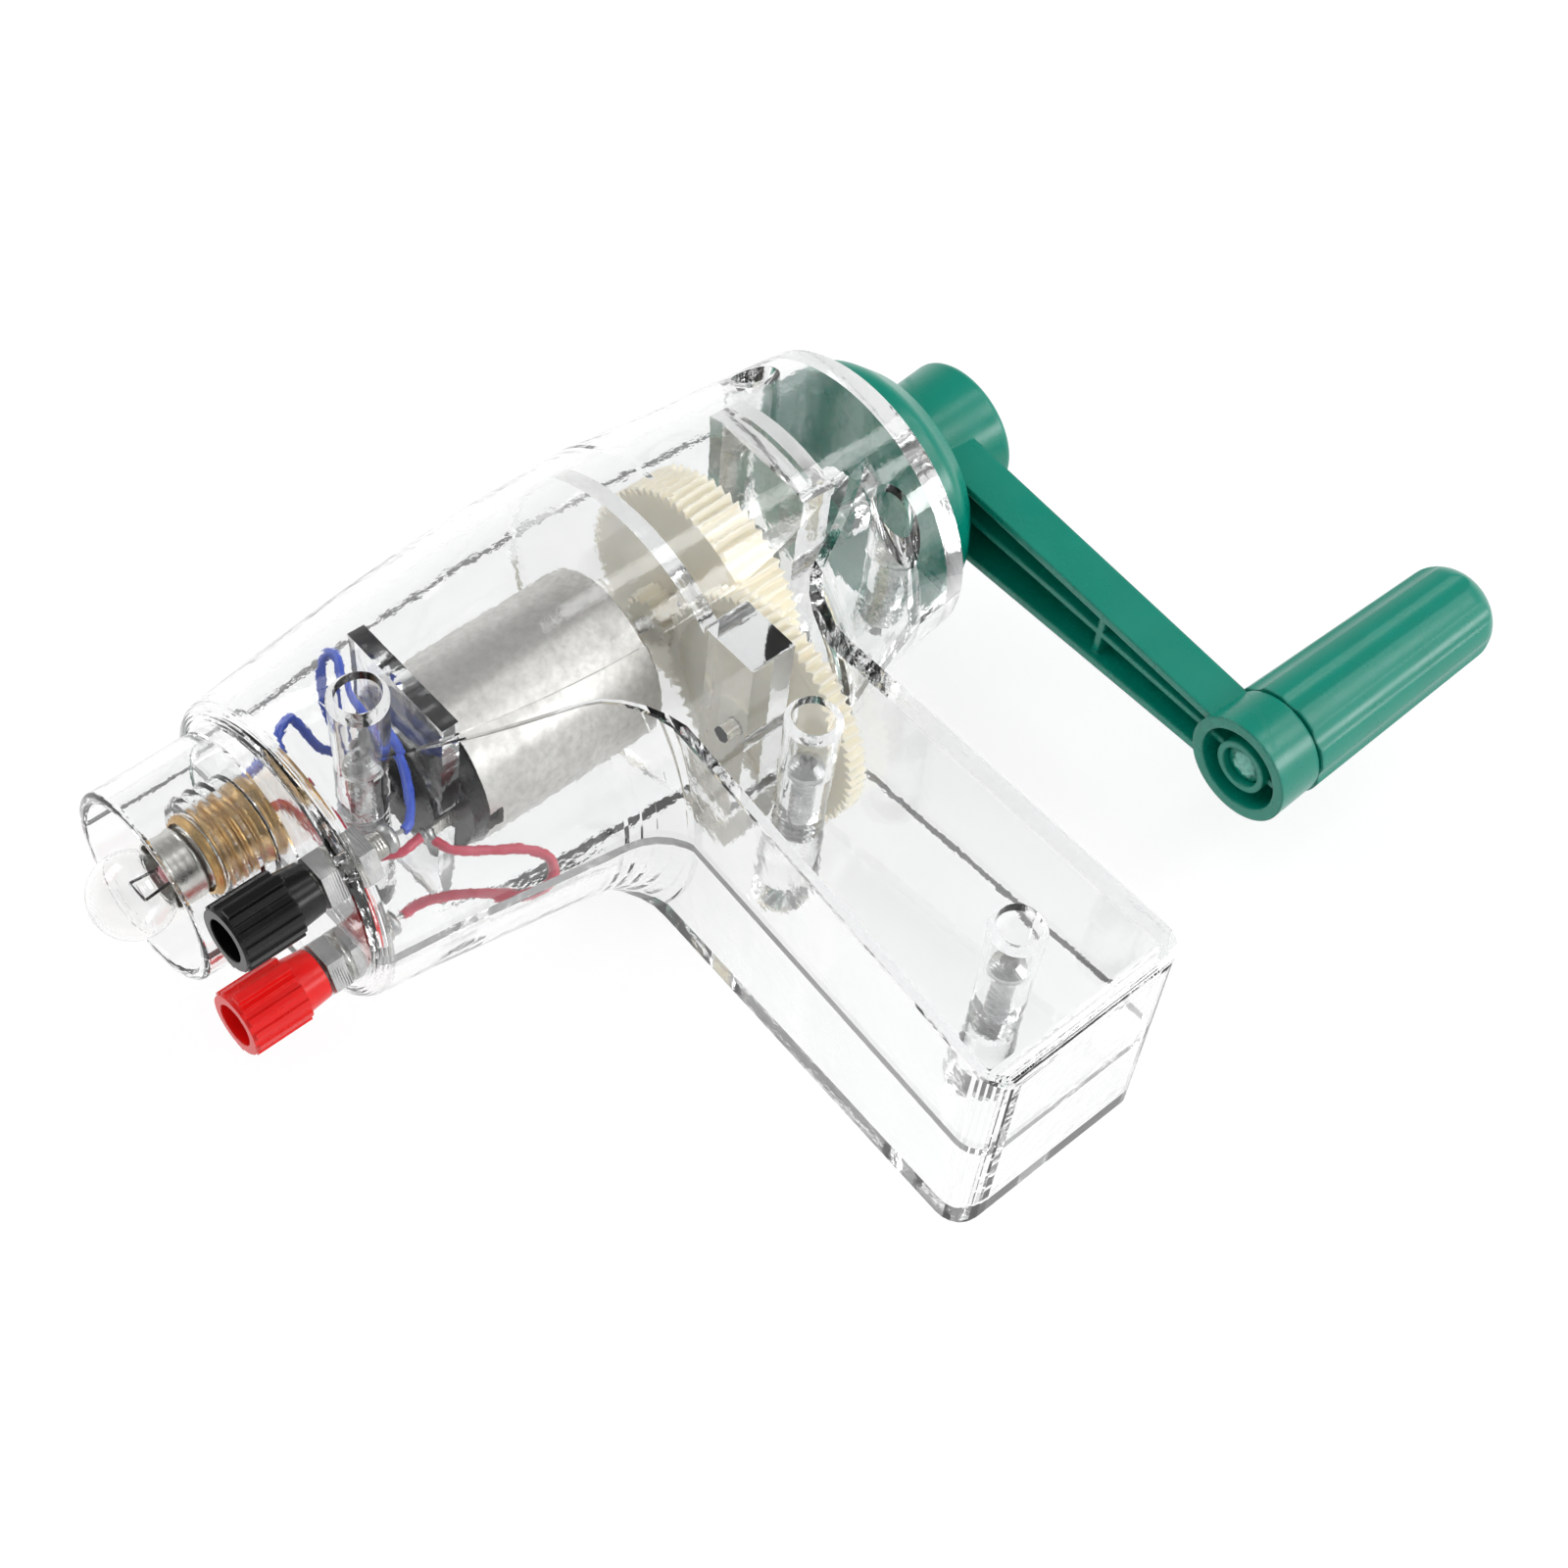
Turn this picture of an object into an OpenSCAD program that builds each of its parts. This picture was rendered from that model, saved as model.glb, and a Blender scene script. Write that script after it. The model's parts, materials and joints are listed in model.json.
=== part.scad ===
// Hand crank generator with a clear pistol shaped case.
// Everything is drawn in the frame of the barrel axis and then laid down
// on its resting place, so that the grip end and the barrel touch the table.
// X runs from the lamp to the crank, the grip points to minus Y.

/* [Case] */
// Length of the barrel from the front face to the rear face
case_len = 97; // [94:0.5:104]
// Wall of the barrel and the grip
case_wall = 2; // [1.6:0.1:2.2]
// Wall of the front face
face_wall = 2.2; // [1.8:0.1:2.6]
// Wall of the rear face
tail_wall = 2.5; // [2:0.1:3]
// Largest radius of the barrel
barrel_r = 25; // [24.8:0.1:26]
// Radius of the barrel at the front face before its edge is rounded
nose_r = 20.9; // [20.5:0.1:21.5]
// Where the full radius starts
land_from = 50; // [48:1:52]
// Where the full radius ends
land_to = 62; // [58:1:66]
// Radius of the barrel at the rear face
tail_r = 21.5; // [21:0.1:22.5]
// Rounding of the front edge
face_round = 2; // [1:0.1:2.6]
// Air line between the two halves of the case
seam_gap = 0.1; // [0.06:0.02:0.2]

/* [Grip] */
// Distance from the barrel axis to the grip end
grip_reach = 86.4; // [84:0.2:92]
// Front edge of the grip at its root
grip_front = 41.2; // [40.6:0.1:42]
// Front edge of the grip at its end
grip_front_end = 37.6; // [36:0.2:40]
// Rear edge of the grip at its root
grip_rear = 67.2; // [67.1:0.1:67.6]
// Rear edge of the grip at its end
grip_rear_end = 69.8; // [68:0.2:71]
// Half thickness of the grip in the middle of the barrel
grip_half = 21.1; // [20.9:0.1:21.6]
// Half thickness of the grip at its end
grip_half_end = 17; // [16.5:0.1:18]
// Rounding of the upright corners at the grip end
grip_corner_r = 4; // [3:0.2:5]
// Rounding of the flat edges at the grip end
grip_edge_r = 1.5; // [1:0.1:1.9]
// Cove between the barrel and the front of the grip
cove_front_r = 8; // [6:0.5:9]
// Cove between the barrel and the rear of the grip
cove_rear_r = 9; // [7:0.5:10]
// Start of the swelling in front of the grip
swell_from = 4; // [3.6:0.2:5]
// Radius of the swelling at its start
swell_r = 21.2; // [21:0.05:21.3]
// Radius of the swelling where it meets the grip front
swell_front_r = 27.4; // [27:0.1:28]
// Radius of the swelling where it meets the grip rear
swell_rear_r = 28.9; // [28.8:0.1:29.4]
// End of the swelling behind the grip
swell_to = 90; // [89:0.5:91]
// Radius of the swelling at its rear end
swell_end_r = 21.9; // [21.6:0.1:22]
// Radius up to which the root fills the grip
root_r = 38; // [37:0.5:42]

/* [Hood] */
// Height of the lamp axis above the barrel axis
lamp_y = 6.1; // [5.6:0.1:6.4]
// Length of the hood in front of the face
hood_len = 15.2; // [14:0.2:17]
// Outer radius of the hood
hood_r = 13.3; // [13:0.1:13.6]
// Wall of the hood
hood_wall = 1.6; // [1.2:0.1:1.8]
// Rounding of the hood rim
hood_round = 0.6; // [0.3:0.1:0.7]

/* [Case screws] */
// Radius of a screw well at its mouth, outside
well_r = 4; // [3.8:0.1:4.3]
// Radius of a screw well at the middle of the case, outside
well_foot_r = 3.3; // [3.2:0.1:3.5]
// Wall of a screw well
well_wall = 0.7; // [0.6:0.05:0.9]
// Height of the screw seat above the middle of the case
well_floor = 8; // [7:0.5:9]
// Radius of a screw thread
screw_r = 1.5; // [1.4:0.05:1.6]
// Depth of a screw thread
thread_depth = 0.35; // [0.2:0.05:0.4]
// Pitch of a screw thread
screw_pitch = 1.1; // [1:0.1:1.3]
// Length of a screw below its head
screw_len = 14; // [12:1:16]
// Radius of a screw head
screw_head_r = 2.4; // [2.2:0.1:2.5]
// Height of a screw head
screw_head_h = 1.8; // [1.5:0.1:2]
// Width of the cross recess
recess_w = 0.6; // [0.5:0.1:0.8]
// Depth of the cross recess
recess_depth = 0.9; // [0.7:0.1:1.1]
// Front screw, distance from the front face
screw_a_x = 13.5; // [13:0.1:13.8]
// Upper grip screw, distance from the front face
screw_b_x = 56; // [55:0.1:56.6]
// Upper grip screw, distance below the barrel axis
screw_b_y = 34.7; // [34.2:0.1:36]
// Lower grip screw, distance from the front face
screw_c_x = 55.5; // [53:0.5:57]
// Lower grip screw, distance below the barrel axis
screw_c_y = 71.5; // [70:0.5:75]
// Rear screws, distance from the front face
screw_d_x = 88; // [88:0.1:88.6]
// Rear screw on the grip side, distance from the barrel axis
screw_d_y = 15; // [14.6:0.1:15.2]
// Rear screw on the far side, distance from the barrel axis
screw_e_y = 12.7; // [12.4:0.1:13.4]

/* [Gears] */
// Module of every gear
gear_module = 0.5; // [0.5:0.01:0.5]
// Teeth of the crank gear
crank_teeth = 64; // [64:1:64]
// Teeth of the small idler gear
idler_small_teeth = 17; // [17:1:17]
// Teeth of the large idler gear
idler_large_teeth = 66; // [66:1:66]
// Teeth of the motor pinion
pinion_teeth = 15; // [15:1:15]
// Play between two meshed flanks
backlash = 0.12; // [0.1:0.01:0.16]
// Front of the crank gear
crank_gear_from = 66; // [66:0.1:66.3]
// Width of the crank gear
crank_gear_w = 6.6; // [6:0.1:6.8]
// Radius of the crank gear hub
crank_gear_hub_r = 5.5; // [5:0.1:6]
// Length of the hub behind the crank gear
crank_gear_hub_len = 2.2; // [1.5:0.1:2.6]
// Front of the large idler gear
idler_from = 62.1; // [62.1:0.05:62.2]
// Width of the large idler gear
idler_large_w = 2.8; // [2.6:0.05:2.85]
// Width of the small idler gear
idler_small_w = 6; // [5.6:0.1:6.1]
// Width of the motor pinion
pinion_w = 3.7; // [3.6:0.1:3.8]
// Depth of the lightening ring in the large gears
gear_web_drop = 0.5; // [0.3:0.1:0.6]
// Width of the gear rims
gear_rim = 1.6; // [1.4:0.1:1.8]

/* [Motor] */
// Radius of the motor can
can_r = 12.2; // [12:0.1:12.4]
// Front of the motor can
can_from = 23.9; // [23.7:0.1:24.1]
// Rear of the motor can
can_to = 52.5; // [52:0.1:52.8]
// Wall of the motor can
can_wall = 1; // [0.8:0.1:1.1]
// Rounding of the rear edge of the can
can_round = 0.8; // [0.5:0.1:1]
// Radius of the bearing boss behind the can
can_boss_r = 3; // [2.8:0.1:3.2]
// Length of the bearing boss behind the can
can_boss_len = 3.7; // [3.4:0.1:3.9]
// Width of the notch in the front edge of the can
can_notch_w = 3.2; // [2.5:0.1:4]
// Depth of the notch in the front edge of the can
can_notch_depth = 2; // [1.5:0.1:2.5]
// Radius of the black end cap
cap_r = 11.8; // [11.6:0.1:12]
// Thickness of the disc of the end cap
cap_disc = 2.2; // [2.1:0.1:2.3]
// Radius of the step on the end cap
cap_step_r = 8.4; // [8.2:0.05:8.45]
// Length of the step on the end cap
cap_step_len = 3.1; // [2.9:0.1:3.2]
// Radius of the bearing boss on the end cap
cap_boss_r = 3.5; // [3.2:0.1:3.8]
// Length of the bearing boss on the end cap
cap_boss_len = 1; // [0.8:0.1:1]
// Length of the spigot of the end cap inside the can
cap_spigot = 2.4; // [2:0.1:3]
// Radius of the motor shaft
rotor_shaft_r = 1; // [1:0.01:1.02]
// Front end of the motor shaft
rotor_from = 18; // [17.8:0.1:18.2]
// Rear end of the motor shaft
rotor_to = 65.4; // [65.2:0.1:65.5]
// Radius of the rotor core
core_r = 9.2; // [9:0.1:9.4]
// Front of the rotor core
core_from = 30; // [29:0.5:32]
// Length of the rotor core
core_len = 17; // [14:0.5:18]
// Slot width between the poles of the rotor core
core_slot_w = 1.8; // [1.4:0.1:2.4]
// Radius of the middle of the rotor core
core_neck_r = 4.6; // [4:0.2:5.2]
// Radius of the windings
winding_r = 8; // [7.6:0.1:8.2]
// Length of the windings beyond the core
winding_over = 1.8; // [1.4:0.1:2]
// Radius of the commutator
commutator_r = 2.6; // [2.4:0.1:3]
// Length of the commutator
commutator_len = 4; // [3.5:0.1:4]
// Inner radius of the magnets
magnet_r = 9.7; // [9.6:0.1:9.9]
// Angle that one magnet covers
magnet_angle = 130; // [110:5:150]
// Width of a motor tag
tag_w = 2.2; // [2:0.1:2.4]
// Thickness of a motor tag
tag_t = 0.5; // [0.4:0.05:0.6]
// Length of a motor tag
tag_len = 5.3; // [5.1:0.1:5.4]

/* [Clear inner pieces] */
// Front of the motor saddles
saddle_from = 19; // [18.9:0.05:19.1]
// Thickness of the motor saddles
saddle_t = 2.5; // [2.4:0.05:2.6]
// Half width of the motor saddles
saddle_half = 8.9; // [8.7:0.05:9]
// Height of the saddle legs above the middle of the case
saddle_foot = 2.5; // [2.3:0.1:2.8]
// Height of the saddle top above the middle of the case
saddle_top = 19.2; // [18.6:0.1:19.2]
// Front of the gear plate
plate_from = 54.8; // [54.7:0.05:54.9]
// Thickness of the gear plate
plate_t = 2.5; // [2.4:0.05:2.6]
// Depth of the axle block behind the gear plate
block_depth = 4.5; // [4.4:0.05:4.5]
// Width of the axle block
block_w = 9.1; // [8.8:0.1:9.4]
// Half height of the axle block
block_half = 17.9; // [17.5:0.1:17.9]
// Front of the rear bracket
bracket_from = 77; // [76.9:0.1:77.2]
// Thickness of the rear bracket
bracket_t = 5.5; // [5.3:0.1:5.6]
// Half width of the rear bracket
bracket_half = 8.8; // [8.6:0.1:9]
// Width of the slot along the ends of the rear bracket
bracket_slot_w = 0.8; // [0.6:0.1:1]
// Depth of the slot along the ends of the rear bracket
bracket_slot_depth = 2; // [1:0.5:4]
// Radius of the bearing boss inside the rear face
tail_boss_r = 5; // [4.6:0.1:5.4]
// Length of the bearing boss inside the rear face
tail_boss_len = 4; // [3:0.5:4.5]
// Radius of the idler axle
axle_r = 1.25; // [1.2:0.01:1.3]
// Radius of the ring that keeps the idler on its axle
clip_r = 2.4; // [2.2:0.1:2.6]
// Thickness of the keeper rings
clip_t = 0.8; // [0.7:0.05:0.9]

/* [Crank] */
// Radius of the crank shaft
shaft_r = 2; // [1.95:0.01:2.05]
// Rear end of the crank shaft
shaft_to = 114; // [112:0.5:115]
// Radius of the keeper ring on the crank shaft
shaft_clip_r = 3.8; // [3.5:0.1:4.2]
// Gap between the case and the crank flange
flange_gap = 0.6; // [0.5:0.05:0.8]
// Radius of the crank flange
flange_r = 18.2; // [17.8:0.1:18.4]
// Radius of the flange where it turns into the hub side
flange_back_r = 16.4; // [16:0.1:16.8]
// Rear of the crank flange
flange_to = 105; // [104.5:0.1:105.2]
// Rounding of the rear edge of the flange
flange_round = 3; // [2:0.2:3.4]
// Radius of the hub at the flange
hub_r = 9; // [8.8:0.1:9.2]
// Radius of the hub at its rear end
hub_end_r = 9.9; // [9.5:0.1:10.2]
// Rear end of the hub
hub_to = 118; // [117:0.2:119]
// Rounding of the rear edge of the hub
hub_round = 1; // [0.6:0.1:1.4]
// Hollow in the rear end of the hub
hub_dish = 0.8; // [0.5:0.1:1.2]
// Step from the flange back to the front of the crank arm
arm_step = 0.7; // [0.5:0.1:0.9]
// Rear of the crank arm
arm_to = 112.3; // [112:0.1:112.4]
// Distance from the crank shaft to the knob
arm_reach = 65.5; // [64:0.5:68]
// Half height of the arm near the hub
arm_half = 7.2; // [7:0.1:7.4]
// Half height of the arm near the knob
arm_half_end = 4.2; // [4:0.1:4.6]
// Where the half height near the knob is reached
arm_taper_to = 59; // [58:0.5:60]
// Wall of the arm
arm_wall = 1.3; // [1.1:0.1:1.5]
// Thickness of the ribs in the arm
rib_t = 1; // [0.8:0.1:1.2]
// Drop of the ribs below the arm edge
rib_drop = 1; // [0.6:0.1:1.6]
// Where the cross rib stands
cross_rib_y = 38.3; // [36:0.5:42]
// Radius of the eye at the knob end of the arm
eye_r = 7.6; // [7.5:0.1:7.8]
// Gain of radius toward the front of the eye
eye_flare = 0.25; // [0.1:0.05:0.3]
// Wall of the eye
eye_wall = 1.45; // [1.3:0.05:1.6]
// Outer radius of the bearing ring in the eye
ring_r = 3.9; // [3.7:0.1:4.1]

/* [Knob] */
// Radius of the knob pin
pin_r = 2.2; // [2:0.05:2.3]
// Radius of the pressed head of the knob pin
pin_head_r = 2.9; // [2.8:0.1:3]
// Height of the pressed head of the knob pin
pin_head_h = 1; // [0.8:0.1:1.2]
// Depth of the pressed head below the front of the eye
pin_head_sink = 1.5; // [1.2:0.1:1.8]
// Length of the pin inside the knob
pin_in_knob = 18; // [14:1:24]
// Gap between the arm and the knob
knob_gap = 0.4; // [0.3:0.05:0.5]
// Rear end of the knob
knob_to = 151.8; // [148:0.2:155]
// Radius of the knob at the arm
knob_r = 7.9; // [7.7:0.1:8.1]
// Radius of the knob where its end starts to round
knob_end_r = 7.1; // [6.9:0.1:7.3]
// Length of the rounded knob end
knob_dome = 5.2; // [4.5:0.1:6]
// Number of flutes round the knob
flute_count = 8; // [7:1:10]
// Radius of a flute
flute_r = 3.8; // [3.2:0.1:4.2]
// Depth of a flute
flute_depth = 0.45; // [0.3:0.05:0.5]

/* [Lamp] */
// Radius of the lamp globe
globe_r = 5.67; // [5.5:0.01:5.8]
// Distance of the globe centre in front of the face
globe_x = 16.6; // [16.2:0.1:17]
// Wall of the lamp glass
glass_wall = 0.5; // [0.4:0.05:0.6]
// Radius of the lamp neck
neck_r = 3.9; // [3.8:0.05:4]
// Distance of the front of the smooth collar of the lamp cap in front of the face
lamp_collar_to = 12.2; // [11.8:0.05:12.3]
// Radius of the smooth collar of the lamp cap
lamp_collar_r = 4.75; // [4.7:0.01:4.8]
// Distance of the lamp cap rim in front of the face
lamp_cap_rim = 9.3; // [9.2:0.05:9.5]
// Distance of the lamp cap foot in front of the face
lamp_cap_foot = 0.8; // [0.7:0.05:1]
// Radius of the lamp cap between crest and root
lamp_cap_r = 4.5; // [4.45:0.01:4.55]
// Half height of the rolled thread
roll_h = 0.25; // [0.2:0.01:0.27]
// Pitch of the rolled thread
roll_pitch = 1.81; // [1.7:0.01:1.9]
// Wall of the lamp cap and the socket shell
roll_wall = 0.3; // [0.25:0.01:0.32]
// Radius of the socket shell between crest and root
socket_r = 5.1; // [5.05:0.01:5.15]
// Distance of the socket shell rim in front of the face
socket_rim = 8; // [7.8:0.1:8.2]
// Distance of the socket shell foot behind the face
socket_foot = 3.9; // [3.8:0.05:4]
// Outer radius of the clear socket
socket_body_r = 7.2; // [7:0.1:7.4]
// Height of the ridges round the clear socket
socket_ridge = 0.35; // [0.25:0.05:0.4]
// Length of the clear socket in front of the face
socket_body_len = 7; // [6.6:0.1:7.2]
// Radius of the spigot of the clear socket
spigot_r = 6; // [5.95:0.05:6.1]
// Distance of the spigot end behind the face
spigot_to = 3.4; // [3.3:0.1:3.5]
// Radius of the lamp tip
lamp_tip_r = 1.3; // [1.1:0.1:1.4]
// Radius of the middle contact
contact_r = 2; // [1.8:0.1:2.4]
// Thickness of the middle contact
contact_t = 0.5; // [0.4:0.05:0.6]
// Radius of the middle contact stem
stem_r = 0.8; // [0.7:0.05:0.9]
// Rear end of the middle contact stem
stem_to = 5; // [4.8:0.1:5.2]
// Radius of the glass bead in the lamp
bead_r = 1; // [0.8:0.05:1.1]
// Distance of the glass bead in front of the face
bead_x = 11.4; // [11.2:0.1:11.8]
// Radius of the lamp support wires
support_r = 0.2; // [0.18:0.01:0.25]
// Half distance between the tips of the support wires
support_half = 1.6; // [1.4:0.1:1.8]
// Distance of the filament in front of the face
filament_x = 15.8; // [15.4:0.1:16.2]
// Radius of the filament
filament_r = 0.15; // [0.13:0.01:0.18]

/* [Terminal posts] */
// Distance of the posts below the barrel axis
post_y = 11.5; // [11.3:0.1:11.8]
// Half distance between the posts
post_half = 9.5; // [9.5:0.05:9.6]
// Radius of the post stud
stud_r = 1.7; // [1.6:0.01:1.75]
// Front end of the post stud, in front of the face
stud_front = 5.8; // [5.6:0.1:5.9]
// Rear end of the post stud, behind the face
stud_back = 7.5; // [7.2:0.1:7.8]
// Distance across the flats of a nut
nut_flats = 7; // [6.8:0.1:7.2]
// Height of a nut
nut_h = 2.4; // [2.2:0.1:2.5]
// Radius of a solder lug
lug_r = 3.4; // [3.2:0.1:3.6]
// Thickness of a solder lug
lug_t = 0.5; // [0.4:0.05:0.6]
// Radius of the solder on the stud end
solder_r = 1.9; // [1.7:0.1:2]
// Front of a post cap, in front of the face
cap_front = 14.9; // [14.8:0.1:15.2]
// Rear of a post cap, in front of the face
cap_back = 2.9; // [2.8:0.1:3.1]
// Where the fluted part of a post cap starts
cap_shoulder = 6.5; // [6.3:0.1:6.8]
// Radius of the smooth part of a post cap at its foot
collar_r = 3.5; // [3.3:0.1:3.6]
// Radius of the smooth part of a post cap at the shoulder
collar_top_r = 3.9; // [3.8:0.1:4]
// Radius of the fluted part of a post cap
post_knob_r = 4.6; // [4.5:0.1:4.7]
// Number of ribs round a post cap
post_ribs = 14; // [12:2:16]
// Height of the ribs round a post cap
post_rib_h = 0.35; // [0.25:0.05:0.4]
// Height of the two fins of a post cap
fin_h = 0.9; // [0.7:0.1:1]
// Width of the two fins of a post cap
fin_w = 1.3; // [1:0.1:1.8]
// Radius of the plug sleeve bore
sleeve_bore_r = 2.03; // [2.02:0.01:2.05]
// Wall of the plug sleeve
sleeve_wall = 0.6; // [0.5:0.05:0.7]
// Length of the plug sleeve
sleeve_len = 8.6; // [8.2:0.1:8.6]
// Radius of the open mouth in front of the sleeve
mouth_r = 3; // [2.8:0.05:3.1]
// Depth of the mouth in front of the sleeve
mouth_len = 2.6; // [2:0.1:3]

/* [Leads] */
// Radius of the leads
lead_r = 0.65; // [0.6:0.01:0.65]
// Sides of the leads
lead_sides = 8; // [8:1:8]
// Rings between two bends of a lead
lead_steps = 5; // [4:1:5]

/* [Fits] */
// Radial play of a turning fit
running = 0.08; // [0.06:0.01:0.09]
// Play between two pieces that are fixed to each other
snug = 0.03; // [0.02:0.01:0.05]
// Play between the clear inner pieces and the case
seat_gap = 0.15; // [0.12:0.01:0.2]

/* [Hidden] */

$fn = 64;
// Points on a quarter turn of a rounding
corner_steps = 6;
// Points along the curved front of the barrel
nose_steps = 14;
// Power of the curve of the barrel front
nose_power_share = 1.7;
// Pressure angle of the gears
flank_angle = 25;
// Tooth height above and below the pitch line, in modules
above_share = 1;
below_share = 1.25;
// Half widths of a rib on a post cap at its foot and its top, in rib spacings
rib_foot_share = 0.3;
rib_top_share = 0.2;
// How deep the root body stands in the grip
root_sink = 0.3;
// Length that makes a cut pass right through a wall
past = 1;

// Radius of the barrel at a distance from the front face
nose_drop = barrel_r - nose_r;
function nose_at(x) = barrel_r - nose_drop * pow(1 - x / land_from, nose_power_share);
function tail_at(x) = barrel_r - (barrel_r - tail_r) * (x - land_to) / (case_len - land_to);

// Resting roll, found from the circle of the barrel and the rounded grip end
rest_arm_y = grip_reach - grip_edge_r;
rest_arm_z = grip_half_end - grip_edge_r;
rest_roll = asin((barrel_r - grip_edge_r) / norm([rest_arm_y, rest_arm_z])) - atan2(rest_arm_z, rest_arm_y);
lamp_front = globe_x + globe_r;
grip_low_y = rest_arm_y * cos(rest_roll) + rest_arm_z * sin(rest_roll) + grip_edge_r;
mid_x = (knob_to - lamp_front) / 2;
mid_y = (barrel_r - grip_low_y) / 2;

// Gear distances
mesh_a = gear_module * (crank_teeth + idler_small_teeth) / 2;
idler_y = mesh_a;
idler_small_from = idler_from + idler_large_w;
idler_to = idler_small_from + idler_small_w;

// Screw places
screw_spots = [
    [screw_a_x, 0],
    [screw_b_x, -screw_b_y],
    [screw_c_x, -screw_c_y],
    [screw_d_x, -screw_d_y],
    [screw_d_x, screw_e_y]
];

// Places along the barrel axis
cap_disc_from = can_from - cap_disc;
cap_step_from = cap_disc_from - cap_step_len;
cap_boss_from = cap_step_from - cap_boss_len;
tag_from = cap_disc_from - tag_len;
tag_y = cap_step_r + snug;
block_to = plate_from + plate_t + block_depth;
bracket_to = bracket_from + bracket_t;
flange_from = case_len + flange_gap;
knob_from = arm_to + knob_gap;
head_from = flange_to + pin_head_sink;
pin_to = knob_from + pin_in_knob;
tail_inside = case_len - tail_wall;
post_spots = [post_half, -post_half];

// Lay a piece on its resting place
module rest() {
    translate([-mid_x, -mid_y, barrel_r]) {
        rotate([rest_roll, 0, 0]) children();
    }
}

// Turn a drawing in Y and Z, with its height along X, to its start
module along_x(from) {
    translate([from, 0, 0]) rotate([90, 0, 90]) children();
}

module rod(from, to, r) {
    along_x(from) cylinder(h = to - from, r = r);
}

module cone(from, to, r_from, r_to) {
    along_x(from) cylinder(h = to - from, r1 = r_from, r2 = r_to);
}

module tube(from, to, r_out, r_in) {
    difference() {
        rod(from, to, r_out);
        rod(from - past, to + past, r_in);
    }
}

// Turn an outline given as distance along X and radius round X
module spin_x(points) {
    rotate([90, 0, 90]) rotate_extrude() polygon([for (p = points) [p[1], p[0]]]);
}

// Round the corners of an outline, each point is x, y, radius
function unit(v) = v / norm(v);
function swing(a) = a > 180 ? a - 360 : (a < -180 ? a + 360 : a);
function corner(p, a, b) = let(
    u = unit([a[0] - p[0], a[1] - p[1]]),
    w = unit([b[0] - p[0], b[1] - p[1]]),
    half = acos(u * w) / 2,
    c = [p[0], p[1]] + unit(u + w) * p[2] / sin(half),
    s = [p[0], p[1]] + u * p[2] / tan(half) - c,
    e = [p[0], p[1]] + w * p[2] / tan(half) - c,
    start = atan2(s[1], s[0]),
    turn = swing(atan2(e[1], e[0]) - start)
) [for (k = [0:corner_steps]) let(a = start + turn * k / corner_steps) c + p[2] * [cos(a), sin(a)]];
function rounded(points) = let(n = len(points)) [
    for (i = [0:n - 1])
        for (q = points[i][2] == 0
            ? [[points[i][0], points[i][1]]]
            : corner(points[i], points[(i + n - 1) % n], points[(i + 1) % n])) q
];

// Outline of the barrel, drawn in by an inset, with its front and rear walls
function barrel_outline(inset, front, rear, round_r) = concat(
    [[front, 0]],
    [for (k = [0:corner_steps]) let(a = 90 * k / corner_steps, x = front + round_r * (1 - cos(a)))
        [x, nose_at(x) - inset - round_r * (1 - sin(a))]],
    [for (k = [1:nose_steps]) let(x = front + round_r + (land_from - front - round_r) * k / nose_steps)
        [x, nose_at(x) - inset]],
    [[land_to, barrel_r - inset], [rear, tail_at(rear) - inset], [rear, 0]]
);

// Outline of the body of revolution that carries the root of the grip
function root_outline(inset) = rounded([
    [swell_from + inset, 0, 0],
    [swell_from + inset, swell_r - inset, 0],
    [grip_front + root_sink + inset, swell_front_r - inset, cove_front_r + inset],
    [grip_front + root_sink + inset, root_r - inset, 0],
    [grip_rear - root_sink - inset, root_r - inset, 0],
    [grip_rear - root_sink - inset, swell_rear_r - inset, cove_rear_r + inset],
    [swell_to - inset, swell_end_r - inset, 0],
    [swell_to - inset, 0, 0]
]);

// Thickness of the grip, drawn in by an inset
module grip_slab(inset) {
    along_x(0) linear_extrude(height = case_len) polygon(rounded([
        [0, grip_half - inset, 0],
        [inset - grip_reach, grip_half_end - inset, grip_edge_r],
        [inset - grip_reach, inset - grip_half_end, grip_edge_r],
        [0, inset - grip_half, 0]
    ]));
}

// Straight part of the grip, drawn in by an inset
module grip_box(inset) {
    intersection() {
        translate([0, 0, -grip_half]) linear_extrude(height = 2 * grip_half) polygon(rounded([
            [grip_front + inset, 0, 0],
            [grip_front + inset, inset - swell_front_r, 0],
            [grip_front_end + inset, inset - grip_reach, grip_corner_r - inset],
            [grip_rear_end - inset, inset - grip_reach, grip_corner_r - inset],
            [grip_rear - inset, inset - swell_rear_r, 0],
            [grip_rear - inset, 0, 0]
        ]));
        grip_slab(inset);
    }
}

module root_body(inset) {
    intersection() {
        spin_x(root_outline(inset));
        grip_slab(inset);
    }
}

module outer_form() {
    spin_x(barrel_outline(0, 0, case_len, face_round));
    grip_box(0);
    root_body(0);
}

module inner_form() {
    spin_x(barrel_outline(case_wall, face_wall, tail_inside, face_round / 2));
    grip_box(case_wall);
    root_body(case_wall);
}

module hood() {
    translate([0, lamp_y, 0]) spin_x(rounded([
        [face_wall / 2, hood_r - hood_wall, 0],
        [-hood_len, hood_r - hood_wall, hood_round],
        [-hood_len, hood_r, hood_round],
        [face_wall / 2, hood_r, 0]
    ]));
}

// Half of the case, side is 1 for the upper half and -1 for the lower half
module half_space(side) {
    size = 2 * (grip_reach + knob_to);
    translate([0, 0, side * (size + seam_gap) / 2]) cube(size, center = true);
}

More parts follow.
